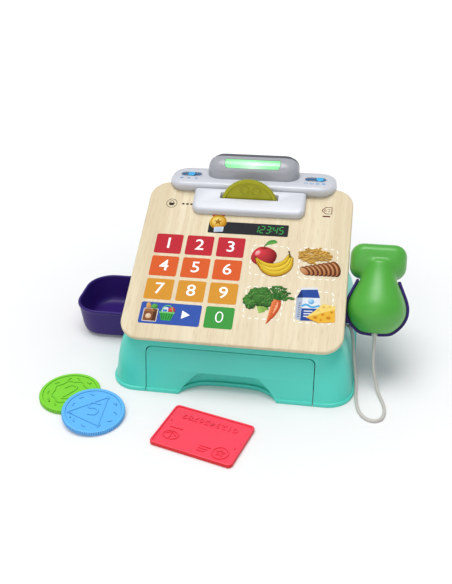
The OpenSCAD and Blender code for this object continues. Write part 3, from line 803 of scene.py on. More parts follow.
KEY_LEFT, KEY_STEP, KEY_W, KEY_H = -94.15, 33.64, 29.29, 24.93
LOW_ROW_V, KEY_ROUND, FIGURE_SIZE = 17.3, 2, 19
WHITE_INK = (1.2, 1.2, 1.2)


def print_keys():
    rows = [("123", 102.9, "#CC2E3B"), ("456", 74.4, "#E8652F"), ("789", 45.8, "#E59F36")]
    for figures, v0, colour in rows:
        for column, figure in enumerate(figures):
            u0 = KEY_LEFT + KEY_STEP * column
            rounded("key", u0, u0 + KEY_W, v0, v0 + KEY_H, KEY_ROUND, level(0), colour)
            lettering("figure", figure, u0 + KEY_W / 2, v0 + KEY_H / 2 + 0.3, FIGURE_SIZE, level(2),
                      WHITE_INK, bold=0.12, stretch=1.1)
    u0 = KEY_LEFT + 2 * KEY_STEP
    low, high = LOW_ROW_V, LOW_ROW_V + KEY_H
    rounded("key", u0, u0 + KEY_W, low, high, KEY_ROUND, level(0), "#45A447")
    lettering("figure", "0", u0 + KEY_W / 2, low + KEY_H / 2, FIGURE_SIZE, level(2), WHITE_INK,
              bold=-0.28, stretch=1.05)
    rounded("key", KEY_LEFT, KEY_LEFT + KEY_STEP + KEY_W, low, high, KEY_ROUND, level(0),
            "#3A5DB7")
    flat("play_mark", [(-50.6, 25.2), (-50.6, 34.8), (-42.2, 30)], level(2), WHITE_INK)
    print_bag(-83, 30)
    print_basket(-66, 29)


def print_bag(u, v):
    """Paper bag of groceries, on the play key."""
    brown, edge = "#8A5636", "#5B3420"
    rounded("bag_rim", u - 7.6, u + 7.6, v - 10.4, v + 4.8, 1, level(2), "#F1E6DA")
    rounded("bag", u - 6.8, u + 6.8, v - 9.6, v + 4, 0.6, level(3), brown)
    flat("bag_fold", [(u + 2.4, v - 9.6), (u + 6.8, v - 9.6), (u + 6.8, v + 4), (u + 3.4, v + 4)],
         level(4), edge)
    blob("loaf", ring_points(u - 3.2, v + 7, 2.5, 5, turn=0.2), level(2), "#9A5B28", "#E8B56A")
    blob("greens", ring_points(u + 3, v + 7, 3.6, 3.4, wobble=0.12, waves=7), level(2),
         "#1F6B2E", "#6CC15A")
    rounded("bag_face", u - 6.8, u + 6.8, v + 1, v + 4, 0.4, level(4), "#A96F49")
    blob("bag_dot", ring_points(u - 1.6, v - 4.2, 3, 3), level(4), "#E0B38A", "#F5DCC0")


def print_basket(u, v):
    """Shopping basket with goods in it."""
    blob("goods_red", ring_points(u + 4.4, v + 5.2, 3.6), level(2), "#A81F26", "#F2564A")
    rounded("goods_white", u - 5.4, u + 0.6, v + 0.6, v + 8.2, 0.5, level(2), "#E8EEF6")
    rounded("goods_mark", u - 4.6, u - 0.2, v + 3, v + 5.6, 0.3, level(3), "#4F86D8")
    flat("basket", [(u - 5, v - 7), (u + 5, v - 7), (u + 7.6, v + 2), (u - 7.6, v + 2)], level(4),
         "#3FAE4E")
    for k in range(-2, 3):
        ribbon("basket_bar", [(u + 2.1 * k, v - 6), (u + 2.9 * k, v + 1)], 0.9, level(5),
               "#1F7A34", 1)
    ribbon("basket_rim", [(u - 8, v + 2), (u + 8, v + 2)], 1.5, level(6), "#7CDB7E", 1)
    ribbon("basket_handle", [(u - 6.6, v + 2), (u - 3, v + 9.4), (u + 3, v + 9.4),
                             (u + 6.6, v + 2)], 0.8, level(6), "#7CDB7E")


SEGMENTS = {"a": (0, 1, 1, 1), "b": (1, 0.5, 1, 1), "c": (1, 0, 1, 0.5), "d": (0, 0, 1, 0),
            "e": (0, 0, 0, 0.5), "f": (0, 0.5, 0, 1), "g": (0, 0.5, 1, 0.5)}
LIT = {"1": "bc", "2": "abged", "3": "abgcd", "4": "fgbc", "5": "afgcd"}


def print_display():
    rounded("display_panel", -40.2, 46.2, 132.9, 148.2, 1.2, level(0), "#2B2D31")
    green = "#46B257"
    for k, figure in enumerate("12345"):
        left = 9.2 + 6.5 * k + (0.9 if k > 2 else 0)
        for name in LIT[figure]:
            x0, y0, x1, y1 = SEGMENTS[name]
            a = Vector((x0 * 4.2, y0 * 8.6))
            b = Vector((x1 * 4.2, y1 * 8.6))
            trim = (b - a).normalized() * 0.5
            a, b = a + trim, b - trim
            ends = [(left + p.x + 0.13 * p.y, 136.4 + p.y) for p in (a, b)]
            ribbon("segment", ends, 1.0, level(2), green, 1)
    for v in (138.6, 142.8):
        rounded("colon", 28.2, 29.2, v, v + 1, 0.3, level(2), green)
    # Coins and a till receipt where the display's picture is
    gold, pale = "#C98A17", "#FFD84A"
    for u, v, r in ((-34.6, 155.6, 3.2), (-27.8, 156.8, 3.2)):
        blob("goods_top", ring_points(u, v, r), level(2), "#B5202B", "#F0525A")
    blob("coin_picture", ring_points(-30.6, 147.6, 9.3), level(3), gold, pale)
    blob("coin_centre", ring_points(-30.6, 147.6, 6.6), level(4), "#D99A1E", "#FFE680")
    ribbon("coin_ring", ring_points(-30.6, 147.6, 7.9) + [(-22.7, 147.6)], 0.5, level(5),
           "#A86E0E", 1)
    star = [(-30.6 + (4.6 if k % 2 == 0 else 1.9) * math.sin(math.pi * k / 5),
             147.6 + (4.6 if k % 2 == 0 else 1.9) * math.cos(math.pi * k / 5)) for k in range(10)]
    flat("coin_star", star, level(5), "#A86E0E")
    flat("receipt", [(-33.5, 134.2), (-23.8, 135.2), (-23.6, 141.4), (-33.8, 140.6)], level(6),
         "#DCEAF8")
    for k in range(3):
        ribbon("receipt_line", [(-32.4, 135.6 + 1.7 * k), (-25.2, 136.2 + 1.7 * k)], 0.5, level(7),
               "#7FA9DE", 1)


DASH, DASH_GAP, DASHED_R = 4.2, 2.9, 4


def dashed_square(corners):
    """Broken white line around a picture."""
    (u0, v0), (u1, v1) = corners
    outline = [Vector((u, v, 0)) for u, v in round_rect(u0, u1, v0, v1, DASHED_R, 8)]
    outline.append(outline[0])
    walk, dist = [], 0.0
    for a, b in zip(outline, outline[1:]):
        steps = max(1, int((b - a).length / 0.35))
        for k in range(steps):
            walk.append((dist + (b - a).length * k / steps, a.lerp(b, k / steps)))
        dist += (b - a).length
    count = round(dist / (DASH + DASH_GAP))
    pitch = dist / count
    for k in range(count):
        start = k * pitch
        end = start + pitch * DASH / (DASH + DASH_GAP)
        points = [p for d, p in walk if start <= d <= end]
        picked = points[::3] + [points[-1]]
        ribbon("dash", [(p.x, p.y) for p in picked], 0.75, level(0), WHITE_INK, 1)


def print_fruit():
    stem = "#4A3018"
    blob("apple", ring_points(24, 106.4, 13.4, 12.4, 40, 0.03, 4), level(2), "#6E0B10",
         "#E5404A", (-0.4, 0.4))
    blob("apple_dip", ring_points(23, 117, 4.2, 1.4), level(3), "#8A1218", "#C03038")
    blob("apple_shine", ring_points(17.2, 110.4, 2.4, 3.6, turn=-0.5), level(3),
         "#E85560", "#FFC9C9")
    ribbon("apple_stem", [(23, 116.4), (23.6, 120.6), (25.4, 123)], [0.9, 0.7, 1.1], level(4), stem)
    ribbon("leaf", [(24, 120), (28, 124.2), (33, 125.8), (36.4, 124.6)], [0.5, 4.8, 4.6, 0.3],
           level(4), ("#3F8F3A", "#6DB854"))
    banana = [((15.6, 104.8), (20, 99.4), (29, 95.4), (38.5, 96.2), (46.4, 101.6), (50.6, 111)),
              ((16.4, 102.6), (21.6, 95.2), (31, 90.6), (41.4, 92), (49.6, 98.8), (52.2, 109)),
              ((18.6, 99.6), (24.6, 90.8), (34, 86), (44.6, 88), (52.2, 95.6), (53.6, 107))]
    tones = [("#F7D63C", "#C8920F"), ("#FFE24B", "#D39D14"), ("#FADB3F", "#B98208")]
    for k, (path, light_and_dark) in enumerate(zip(banana, tones)):
        ribbon("banana_edge", path, [1.8, 5.4, 6.5, 6.5, 5.3, 2.6], level(5 + 2 * k), "#8A5E08", 5)
        ribbon("banana", path, [0.8, 4.5, 5.7, 5.7, 4.5, 1.6], level(6 + 2 * k), light_and_dark, 5)
    ribbon("banana_tip", [(51.4, 107), (50.2, 112), (49.4, 115)], [2.4, 1.6, 1.8], level(11),
           "#6F5A14")
    ribbon("banana_end", [(14.8, 105.8), (16.4, 103.6)], [1.2, 1.6], level(11), "#5B4310",
           1)


def print_bread():
    random.seed(11)
    for k in range(95):
        a = random.uniform(0, math.tau)
        r = math.sqrt(random.random())
        u, v = 76.5 + 15.5 * r * math.cos(a), 111 + 9 * r * math.sin(a)
        turn = random.uniform(-0.6, 0.9)
        du, dv = 3.4 * math.cos(turn), 3.4 * math.sin(turn)
        warm = random.uniform(0.75, 1.1)
        ribbon("pasta", [(u - du, v - dv), (u, v), (u + du, v + dv)], 1.9, level(2) + 0.002 * k,
               (shade("#EBBE62", warm), shade("#A66F1E", warm)), 2)
    for k in range(8):
        u, v = 98.4 - 4.3 * k, 96.4 - 0.65 * k
        lean = 0.35 + 0.07 * k
        size = 1 - 0.045 * k
        blob("slice", ring_points(u, v, 5.4 * size, 9.6 * size, 24, turn=lean), level(7) + 0.02 * k,
             "#5F2F16", "#8A4B22", (-0.2, 0.5))
        blob("crumb", ring_points(u - 1.1, v - 0.4, 4.0 * size, 8.2 * size, 24, turn=lean),
             level(7) + 0.02 * k + 0.01, "#B97848", "#D9A070")


def print_vegetables():
    random.seed(5)
    ribbon("stalk", [(25, 52), (27.4, 45), (29.6, 39.4)], [7.6, 6.4, 6.8], level(2),
           ("#7FB04A", "#A9D06B"))
    ribbon("stalk", [(32.4, 54), (33, 47), (34, 42.4)], [6, 4.6, 4.8], level(2),
           ("#6E9F40", "#97C15C"))
    heads = [(15.6, 52.6, 7), (21, 60.4, 7.6), (29, 62.4, 7), (35, 57.4, 6.2), (26, 54, 7.6),
             (17, 47.6, 5.4), (33.6, 50.6, 5)]
    for k, (u, v, r) in enumerate(heads):
        blob("floret", ring_points(u, v, r, count=32, wobble=0.07, waves=9, turn=0.3 * k),
             level(3) + 0.004 * k, "#123A17", "#4E8F3C")
    for k in range(110):
        u, v, r = random.choice(heads)
        a, d = random.uniform(0, math.tau), r * math.sqrt(random.random()) * 0.95
        warm = random.uniform(0.6, 1.35)
        blob("bud", ring_points(u + d * math.cos(a), v + d * math.sin(a), random.uniform(0.7, 1.3),
                                count=8), level(4) + 0.002 * k, shade("#1C4F20", warm),
             shade("#69A94B", warm))
    for k in range(34):
        a = random.uniform(0.1, 2.2)
        reach = random.uniform(8, 17)
        tip = (43.4 + reach * math.cos(a) * 0.9, 55 + reach * math.sin(a))
        mid = (43.2 + 0.5 * (tip[0] - 43.4) + random.uniform(-1.4, 1.4), 55 + 0.5 * (tip[1] - 55))
        warm = random.uniform(0.6, 1.3)
        ribbon("frond", [(43.2, 54), mid, tip], [1.1, 0.9, 0.7], level(6) + 0.003 * k,
               shade("#2F6E2B", warm), 3)
        for side in (-1, 1):
            blob("tuft", ring_points(tip[0] + 0.9 * side, tip[1] - 0.6, 1.5, 1.1, 9, 0.15, 3),
                 level(9) + 0.003 * k, shade("#1F5A22", warm), shade("#5FA049", warm))
    ribbon("carrot", [(43.6, 54.8), (42.6, 48), (39.8, 38), (35.2, 27)], [7.6, 9.6, 6.6, 0.4],
           level(12), ("#C7461A", "#F98A52"), 6)
    ribbon("carrot_shine", [(44.4, 52), (43.2, 46), (40.8, 39)], [1.2, 2.6, 0.6], level(13),
           "#FFB184")
    for k in range(6):
        u, v = 43.4 - 1.2 * k, 50 - 3.7 * k
        ribbon("carrot_line", [(u - 2.6 + 0.3 * k, v), (u + 0.4, v - 0.6)], 0.35, level(14),
               "#B33F14", 1)


def print_dairy():
    blue, white, shadow = "#2B4FA3", "#EEF3FA", "#B8C4D8"
    flat("carton_side", [(63.4, 35.4), (68.6, 33.6), (69, 60), (62.6, 59.4)], level(2), shadow)
    flat("carton_face", [(68.4, 33.6), (86.4, 34.6), (86, 60.8), (68.8, 60)], level(3), white)
    flat("carton_roof", [(62.6, 59.4), (69, 60), (86, 60.8), (82.8, 70.4), (66.4, 69)], level(2),
         blue)
    flat("carton_roof_side", [(62.6, 59.4), (69, 60), (66.6, 68.6)], level(3), "#1B3474")
    flat("carton_fin", [(66, 69), (83, 70.6), (83, 73), (66, 71.4)], level(4), white)
    flat("carton_base", [(68.4, 33.6), (86.4, 34.6), (86.3, 48.4), (68.6, 47.6)], level(4), blue)
    ribbon("carton_wave", [(68.6, 50), (73, 52.2), (79, 49.6), (86.2, 52)], 2.2, level(5),
           "#58B4EA")
    blob("carton_drop", ring_points(77.4, 56, 3, 3), level(5), "#4FA8E0", "#BDE6FF")
    for k in range(3):
        ribbon("carton_line", [(71, 44.6 - 3 * k), (79.6 - 1.6 * k, 45 - 3 * k)], 1.2, level(5),
               white, 1)
    for k in range(7):
        ribbon("carton_code", [(65.2, 38 + 2.6 * k), (67.4, 37.6 + 2.6 * k)], 0.8, level(4),
               "#5A6C92", 1)
    flat("cheese_top", [(73.6, 37.4), (89.8, 54.2), (102.2, 52.2), (101.6, 48.6)], level(6),
         "#FFE07A")
    flat("cheese_face", [(73.6, 37.4), (101.6, 48.8), (102.6, 34.4), (85.6, 32.2)], level(7),
         "#F7BE3B")
    flat("cheese_edge", [(73.6, 37.4), (85.6, 32.2), (84.4, 33.2), (75.6, 37)], level(8),
         "#C98618")
    for u, v, r in ((83, 38, 2), (90, 42, 1.6), (96, 38.6, 2.2), (98.6, 45, 1.4),
                    (88.6, 35.6, 1.2)):
        blob("cheese_hole", ring_points(u, v, r, r * 0.8), level(9), "#C97C10",
             "#E59A28", (0.3, -0.4))
    for u, v, r in ((90.6, 50.4, 1.5), (96.4, 51, 1.2), (85.4, 46.4, 1.2)):
        blob("cheese_hole", ring_points(u, v, r, r * 0.6), level(9), "#D9A030",
             "#F3C65A", (0.3, -0.4))


def print_marks():
    """Plain marks on the panel's upper corners: a basket and a price tag."""
    ink = "#3A2E26"
    u, v = -86, 169.6
    ribbon("mark_ring", ring_points(u, v, 5.8) + [(u + 5.8, v)], 0.55, level(0), ink, 1)
    flat("mark_basket", [(u - 2.2, v - 2.8), (u + 2.2, v - 2.8), (u + 3.4, v + 0.6),
                         (u - 3.4, v + 0.6)], level(0), ink)
    ribbon("mark_handle", [(u - 2.6, v + 0.6), (u, v + 3.6), (u + 2.6, v + 0.6)], 0.6, level(0),
           ink)
    for k in range(3):
        rounded("mark_dot", -74.4 + 4.6 * k, -71.4 + 4.6 * k, v - 1.1, v + 1.1, 1, level(0), ink)
    brown = "#6B2A1F"
    u, v = 84.6, 170.6
    ribbon("mark_tag", [(u - 5.2, v), (u - 1, v + 4.4), (u + 5.4, v + 4.4), (u + 5.4, v - 4.4),
                        (u - 1, v - 4.4), (u - 5.2, v)], 0.8, level(0), brown, 1)
    ribbon("mark_hole", ring_points(u - 1.6, v, 1.1, count=12) + [(u - 0.5, v)], 0.5, level(0),
           brown, 1)
    ribbon("mark_line", [(u + 1.4, v - 1.4), (u + 3.8, v - 1.4)], 0.7, level(0), brown, 1)
    ribbon("mark_line", [(u + 1.4, v + 1.4), (u + 3.8, v + 1.4)], 0.7, level(0), brown, 1)
    rounded("mark_bar", u - 4, u + 4.2, v - 8.6, v - 7, 0.7, level(0), brown)


def print_deck_icons():
    """Small pale blue symbols in front of the two switches."""
    place = Matrix.Translation((0, FRONT, DECK_TOP))
    blue = "#58A8E0"
    v = 176
    for u in (-78.6, -70.4, -62.2):
        ribbon("icon", ring_points(u, v, 1.7, count=12) + [(u + 1.7, v)], 0.5, level(0), blue, 1,
               place)
    flat("icon", [(-79.3, v - 0.7), (-77.9, v - 0.7), (-77.9, v + 0.7), (-79.3, v + 0.7)],
         level(1), blue, place)
    flat("icon", [(-71, v - 0.8), (-70.9, v + 0.9), (-69.4, v)], level(1), blue, place)
    ribbon("icon", [(-63.2, v - 0.8), (-61.2, v + 0.8)], 0.5, level(1), blue, 1, place)
    for k, u in enumerate((59.6, 66, 72.4, 78.8)):
        ribbon("icon", round_rect(u - 1.8, u + 1.8, v - 1.4, v + 1.4, 0.5, 2)
               + [(u + 1.3, v - 1.4)], 0.45, level(0), blue, 1, place)
        for n in range(k):
            rounded("icon", u - 1.2 + n * 0.9, u - 0.6 + n * 0.9, v - 0.7, v + 0.7, 0.2, level(1),
                    blue, place)


def make_prints(ink):
    print_keys()
    print_display()
    for corners in (((11, 83.6), (49.3, 120.5)), ((61, 83), (100, 120.7)),
                    ((11, 32), (48.8, 69)), ((61.6, 31.5), (99, 68.2))):
        dashed_square(corners)
    print_fruit()
    print_bread()
    print_vegetables()
    print_dairy()
    print_marks()
    print_deck_icons()
    for piece in PRINTS:
        piece.data.materials.append(ink)
    printed = join("panel_printing", PRINTS)
    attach(printed, "register")


# ---------------------------------------------------------------- coin slot, top deck, card reader
def ring_stack(rows, half, depth_at, steps=3, corner=12):
    """Rings of round rectangles from rows of height, side inset, front, back, corner radius."""
    rings = []
    for z, side, y0, y1, r in interpolate(rows, steps):
        outline = round_rect(side - half, half - side, depth_at + y0, depth_at + y1, max(r, 0.5),
                             corner)
        rings.append([(x, y, z) for x, y in outline])
    return rings


def coin_slot_cutter():
    return block("cutter", -SLOT_HALF, SLOT_HALF, SLOT_Y0, SLOT_Y1, 30, 200)


def make_bezel(white):
    rows = [(0, 0, 157, 200, 9), (3, 0, 157, 200, 9), (4.8, 0.15, 157.2, 200, 9),
            (6.4, 0.9, 157.9, 200, 8.4), (7.5, 2.4, 159.3, 200, 7.2), (8, 4.6, 161.4, 200, 5.4)]
    bezel = skin("coin_bezel", ring_stack(rows, 61.5, 0, 4), ON_PANEL)
    cut(bezel, box_mesh("cutter", -80, 80, 186.9, 210, -3, 20, ON_PANEL), coin_slot_cutter())
    round_edges(bezel, 0.5, 3, 50)
    dress(bezel, white, "register", ("coin_slot_bezel",), 40)


def pill(name, x, y, length, width, low, high, steps=16):
    outline = round_rect(x - length / 2, x + length / 2, FRONT + y - width / 2,
                         FRONT + y + width / 2, width / 2 - 0.05, steps)
    return prism(name, outline, low, high)


def make_deck(white, switch_blue, cyan):
    rows = [(140, 1.2, 172, 207, 16), (150, 0.4, 171, 210.6, 17), (152.4, 0, 169.6, 211.4, 18),
            (155, 0, 167.6, 212, 18), (158, 0, 165.6, 212, 18), (160.6, 0.6, 165, 211.4, 18),
            (162.8, 2, 165.8, 210, 17.4), (164.2, 4.4, 168, 207.8, 16), (165, 8, 171.6, 204, 14)]
    deck = skin("deck", ring_stack(rows, DECK_HALF, FRONT, 3, 14))
    slab = box_mesh("cutter", -200, 200, -100, 200.3, -PANEL_T - 0.05, 0.05, ON_PANEL)
    cut(deck, slab)
    for side in (-1, 1):
        cut(deck, pill("cutter", side * SWITCH_X, SWITCH_Y, SWITCH_L, SWITCH_W, 163.4, 170),
            block("cutter", side * SWITCH_X - 8.2, side * SWITCH_X + 8.2, SWITCH_Y - 2.2,
                  SWITCH_Y + 2.2, 158, 170))
    round_edges(deck, 0.35, 3, 50)
    dress(deck, white, "register", ("top_deck",), 40)

    trims = []
    for side in (-1, 1):
        x = side * SWITCH_X
        plate = pill("trim", x, SWITCH_Y, SWITCH_L - 0.3, SWITCH_W - 0.3, 163.4, 164.1)
        cut(plate, block("cutter", x - 8.2, x + 8.2, SWITCH_Y - 2.2, SWITCH_Y + 2.2, 160, 170))
        plate.data.materials.append(switch_blue)
        rim = pill("rim", x, SWITCH_Y, SWITCH_L + 2.2, SWITCH_W + 2.2, 164.6, 165.5)
        cut(rim, pill("cutter", x, SWITCH_Y, SWITCH_L - 0.2, SWITCH_W - 0.2, 160, 170))
        round_edges(rim, 0.32, 3, 50)
        rim.data.materials.append(white)
        trims += [plate, rim]
    finish_piece(join("switch_rims", trims), "register", ("switch_trims",), 40)

    for name, x, body, cad in (("volume_knob", -SWITCH_X, "volume_switch", "volume_slider"),
                               ("mode_knob", SWITCH_X + 4.8, "mode_switch", "mode_slider")):
        knob = prism(name, round_rect(x - 3.8, x + 3.8, FRONT + SWITCH_Y - 4.1,
                                      FRONT + SWITCH_Y + 4.1, 2.4, 8), 164.35, 166.2)
        round_edges(knob, 0.5, 3, 50)
        for k in range(-1, 2):
            cut(knob, block("cutter", x + 1.7 * k - 0.35, x + 1.7 * k + 0.35, SWITCH_Y - 3,
                            SWITCH_Y + 3, 165.8, 168))
        stem = block("stem", x - 1.6, x + 1.6, SWITCH_Y - 1.8, SWITCH_Y + 1.8, 160.8, 164.6)
        dress([knob, stem], cyan, body, (cad,), 40)


def reader_loft(name, inset):
    rows = [(165, 0, 177, 15), (168.4, 0.1, 177.1, 15), (171.6, 0.2, 177.4, 15),
            (175, 0.7, 178, 15), (178, 1.6, 179.4, 14.6), (180.6, 3.2, 181.4, 14),
            (182.8, 5.8, 184, 12.6), (184.3, 9.4, 187.2, 10.8), (185, 14.5, 191.6, 8.6)]
    rows = [(z - inset, side + inset, y0 + inset, 210 - inset, r - inset)
            for z, side, y0, r in rows]
    return skin(name, ring_stack(rows, READER_HALF, FRONT, 3, 14))


def window_block(name, grow):
    outline = [(-30.4 - grow, 186), (-30.4 - grow, 180.4), (-29.6 - grow, 178.6),
               (-27.4 - grow, 177.6 - grow), (27.4 + grow, 177.6 - grow), (29.6 + grow, 178.6),
               (30.4 + grow, 180.4), (30.4 + grow, 186)]
    high = 184.25 + grow
    return across(name, [(x, min(z, high)) for x, z in outline], 168, 188.6 + grow)


def make_reader(grey, painted_shade_grey, window):
    front = reader_loft("reader_hump", 0)
    keep(front, block("cutter", -60, 60, 170, SWIPE_Y0, 160, 190))
    cut(front, window_block("cutter", 0.35))
    round_edges(front, 0.35, 3, 50)
    dress(front, grey, "register", ("card_reader_front",), 40)

    glass = keep(reader_loft("window_lens", 0.3), window_block("cutter", 0.0))
    round_edges(glass, 0.4, 3, 50)
    dress(glass, window, "register", ("light_window",), 40)

    # The back plate takes a darker grey than the front as painted shade, for the shade it sits in
    # behind the hump.
    back = across("reader_back", arch(READER_HALF - 1, 165, PLATE_TOP, 12, 12), SWIPE_Y1, 212)
    keep(back, add(reader_loft("cutter", 0),
                   block("cutter", -60, 60, 198, 207, 164.4, PLATE_TOP + 1)))
    round_edges(back, 0.6, 3, 50)
    dress(back, painted_shade_grey, "register", ("card_reader_back",), 40)


def make_back_details(shade_teal, steel):
    door = block("battery_lid", -36, 36, 203.6, 206, 68.4, 129.6)
    ridges = [block("cutter", -14, 14, 205.2, 207, 74 + 3 * k, 75.4 + 3 * k) for k in range(5)]
    cut(door, rod_y("cutter", 3, 0, 205, 208, 126.4), rod_y("cutter", 1.7, 0, 200, 210, 126.4),
        *ridges)
    round_edges(door, 0.3, 2, 60)
    dress(door, shade_teal, "register", ("battery_door",))
    screw = rod_y("lid_screw", 2.7, 0, 205.2, 205.9, 126.4)
    cut(screw, block("cutter", -1.9, 1.9, 205.5, 206.4, 126.0, 126.8),
        block("cutter", -0.4, 0.4, 205.5, 206.4, 124.5, 128.3))
    shaft = rod_y("shaft", 1.25, 0, 194, 205.3, 126.4, 24)
    dress([screw, shaft], steel, "register", ("battery_door_screw",))


# ---------------------------------------------------------------- coin tray, cradle and scanner
def make_tray(purple):
    rows = [(2.4, 9.6, 18.0), (2.7, 8.0, 20.0), (3.6, 6.2, 22), (5.6, 4.9, 23.6), (10, 3.7, 25),
            (18, 2.8, 26), (27, 1.9, 27), (32.6, 1.2, 27.8), (34.2, 0.7, 28.4),
            (35.2, 0.15, 29), (36.4, 0, 29), (37.3, 0.25, 28.8), (37.85, 0.8, 28.2),
            (38, 1.6, 27.6), (37.7, 2.4, 27), (36.8, 2.9, 26.6), (33, 3.4, 26), (24, 4.6, 25),
            (14, 6.1, 23.6), (9.4, 7.6, 22), (6.9, 9.8, 20), (5.8, 12.6, 17.6), (5.4, 16.5, 14)]
    rings = []
    for z, out, r in interpolate(rows, 2):
        outline = round_rect(-192.5 + out, -127 - out / 2, FRONT + 84 + out, FRONT + 168 - out, r,
                             14, 8 if out < 5 else max(3.5, 8 - (out - 5) * 0.4))
        rings.append([(x, y, z) for x, y in outline])
    tray = skin("tray_bowl", rings)
    flange = block("flange", -128.6, -111, 106, 146, 29, 34)
    hook = block("hook", -112, -110, 108, 144, 25.6, 29.2)
    dress([tray, flange, hook], purple, "register", ("coin_tray",), 50)


HEAD_X = -1.2
HANDLE = [(0, 9), (1.2, 14), (4.5, 19.2), (9, 23.6), (13.5, 26.6), (18.5, 28.6), (24, 29.2),
          (29, 28.7), (34.5, 27), (41, 24.2), (48, 21), (55, 18), (62, 15.4), (70, 13.4)]


def handle_profile(grow, steps=4):
    """Smooth outline of the handle, grown all round: (radius, height) from the exit up."""
    nose = [(0, 0), (5, 0.15)] + [(r, s) for s, r in HANDLE[1:]]
    fine = interpolate([[r, s] for r, s in nose], steps)
    fine = [(max(r, 0), max(s, 0)) for r, s in fine]
    out = []
    for i, (r, s) in enumerate(fine):
        a, b = fine[max(i - 1, 0)], fine[min(i + 1, len(fine) - 1)]
        t = Vector((b[0] - a[0], b[1] - a[1])).normalized()
        out.append((max(0, r + grow * t.y) if i else 0, s - grow * t.x))
    return out


def make_cradle(purple):
    outer = handle_profile(3.0)
    outer[-1] = (outer[-1][0], 72)
    inner = handle_profile(0.6)
    inner[-1] = (inner[-1][0], 73)
    shell = revolve("cradle_shell", outer + [(0, 72)], IN_CRADLE, 96)
    cut(shell, revolve("cutter", inner + [(0, 73)], IN_CRADLE, 96),
        box_mesh("cutter", -60, 60, -60, 0, -10, 90, IN_CRADLE),
        box_mesh("cutter", -3, 3, -10, 14, -20, 12, IN_CRADLE),
        box_mesh("cutter", -60, 60, -40, 80, 0, 60, IN_CRADLE
                 @ Matrix.Translation((0, 0, 53.6)) @ Matrix.Rotation(math.radians(-18), 4, "X")))
    round_edges(shell, 0.75, 3, 40)
    bracket = block("bracket", 103, 121, 62, 86, 62, 77)
    cut(bracket, revolve("cutter", handle_profile(2.2) + [(0, 70)], IN_CRADLE, 64))
    round_edges(bracket, 1, 3, 60)
    dress([shell, bracket], purple, "register", ("scanner_cradle",), 40)


def rounded_head(name):
    """The scanner's head: a round-cornered block with a fat roll along its upper near edge."""
    rows = [(-8, 12, 21, 7.5, 3.4), (-7.6, 9.4, 17.5, 5.6, 5.4), (-6.4, 6.4, 13, 3.6, 8),
            (-4.4, 3.8, 9, 2, 10), (-1.5, 1.8, 5.4, 0.8, 11.4), (2.5, 0.6, 2.8, 0.15, 12.2),
            (8, 0.05, 1, 0, 12.4), (14, 0, 0.2, 0, 12.4), (20, 0, 0, 0, 12.4),
            (31, 0, 0, 0, 12.2), (34, 0.5, 0.5, 0.5, 11.8), (35.4, 1.6, 1.6, 1.6, 11),
            (36, 3.2, 3.2, 3.2, 9.6)]
    rings = []
    for y, side, bottom, top, r in interpolate(rows, 3):
        outline = round_rect(HEAD_X - 28.2 + side, HEAD_X + 28.2 - side, 54 + bottom, 90 - top,
                             max(min(r, 12.4), 3), 12)
        rings.append([(x, y, s) for x, s in outline])
    return skin(name, rings, IN_CRADLE)


def make_scanner(green, black, relief_grey):
    handle = revolve("scanner_body", handle_profile(0) + [(13.0, 74), (0, 74)], IN_CRADLE, 72)
    body = add(handle, rounded_head("head"))
    run_modifier(body, "REMESH", mode="VOXEL", voxel_size=0.9 * MM)
    run_modifier(body, "SMOOTH", factor=0.5, iterations=14)
    apply_all(body)
    soften_neck(body)
    cut(body, box_mesh("cutter", HEAD_X - 22, HEAD_X + 22, 28.6, 50, 58.6, 85.4, IN_CRADLE),
        disc("cutter", 2.75, -6, 3, IN_CRADLE, 40))
    dress(body, green, "scanner",
          ("scanner_front_shell", "scanner_rear_shell", "scanner_head_shell", "scanner_screws",
           "scanner_light_board"), 40)

    tip = box_mesh("scanner_window", HEAD_X - 21.6, HEAD_X + 21.6, 31.6, 35.2, 59, 85, IN_CRADLE)
    round_edges(tip, 0.8, 3, 60)
    dress(tip, black, "scanner_tip_body", ("scanner_tip",))

    boot = revolve("cord_boot", [(0, 4.6), (2.5, 4.6), (2.5, -1.8), (2.42, -3.1), (2.15, -3.6),
                                 (1.82, -3.6), (1.82, -2.4), (0, -2.4)], IN_CRADLE, 40)
    dress(boot, relief_grey, "scanner", ("scanner_cord_relief",))


def soften_neck(body):
    """Relaxes the crease where the handle's neck runs into the head."""
    shape = bmesh.new()
    shape.from_mesh(body.data)
    inverse = IN_CRADLE.inverted()
    picked = []
    for vertex in shape.verts:
        place = inverse @ (vertex.co / MM)
        if 46 < place.z < 77 and place.y < 4:
            picked.append(vertex)
    for _ in range(40):
        bmesh.ops.smooth_vert(shape, verts=picked, factor=0.5, use_axis_x=True, use_axis_y=True,
                              use_axis_z=True)
    shape.to_mesh(body.data)
    shape.free()


# ---------------------------------------------------------------- cord
def make_cord(rubber):
    line = smooth_curve([Vector((x, FRONT + y, z)) for x, y, z in CORD_ROUTE], 6)
    sides, rings = 16, []
    normal = Vector((0, 0, 1))
    for i, point in enumerate(line):
        ahead = (line[min(i + 1, len(line) - 1)] - line[max(i - 1, 0)]).normalized()
        normal = (normal - ahead * normal.dot(ahead)).normalized()
        across = ahead.cross(normal)
        rings.append([point + CORD_D / 2 * (math.cos(math.tau * k / sides) * normal
                                            + math.sin(math.tau * k / sides) * across)
                      for k in range(sides)])
    cord = skin("scanner_cord", rings)
    cord.data.materials.append(rubber)
    smooth_shading(cord, 60)
    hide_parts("cord")
    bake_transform(cord)

    place = Matrix.Translation((0, FRONT + 72, 53)) @ Matrix.Rotation(math.pi / 2, 4, "Y")
    gland = revolve("cord_grommet", [(0, 104.4), (3.9, 104.4), (3.9, 105.6), (3.3, 105.6),
                                     (3.3, 111.6), (2.9, 112.4), (1.72, 112.4), (1.72, 110),
                                     (0, 110)], place, 40)
    dress(gland, rubber, "register", ("cord_gland",))


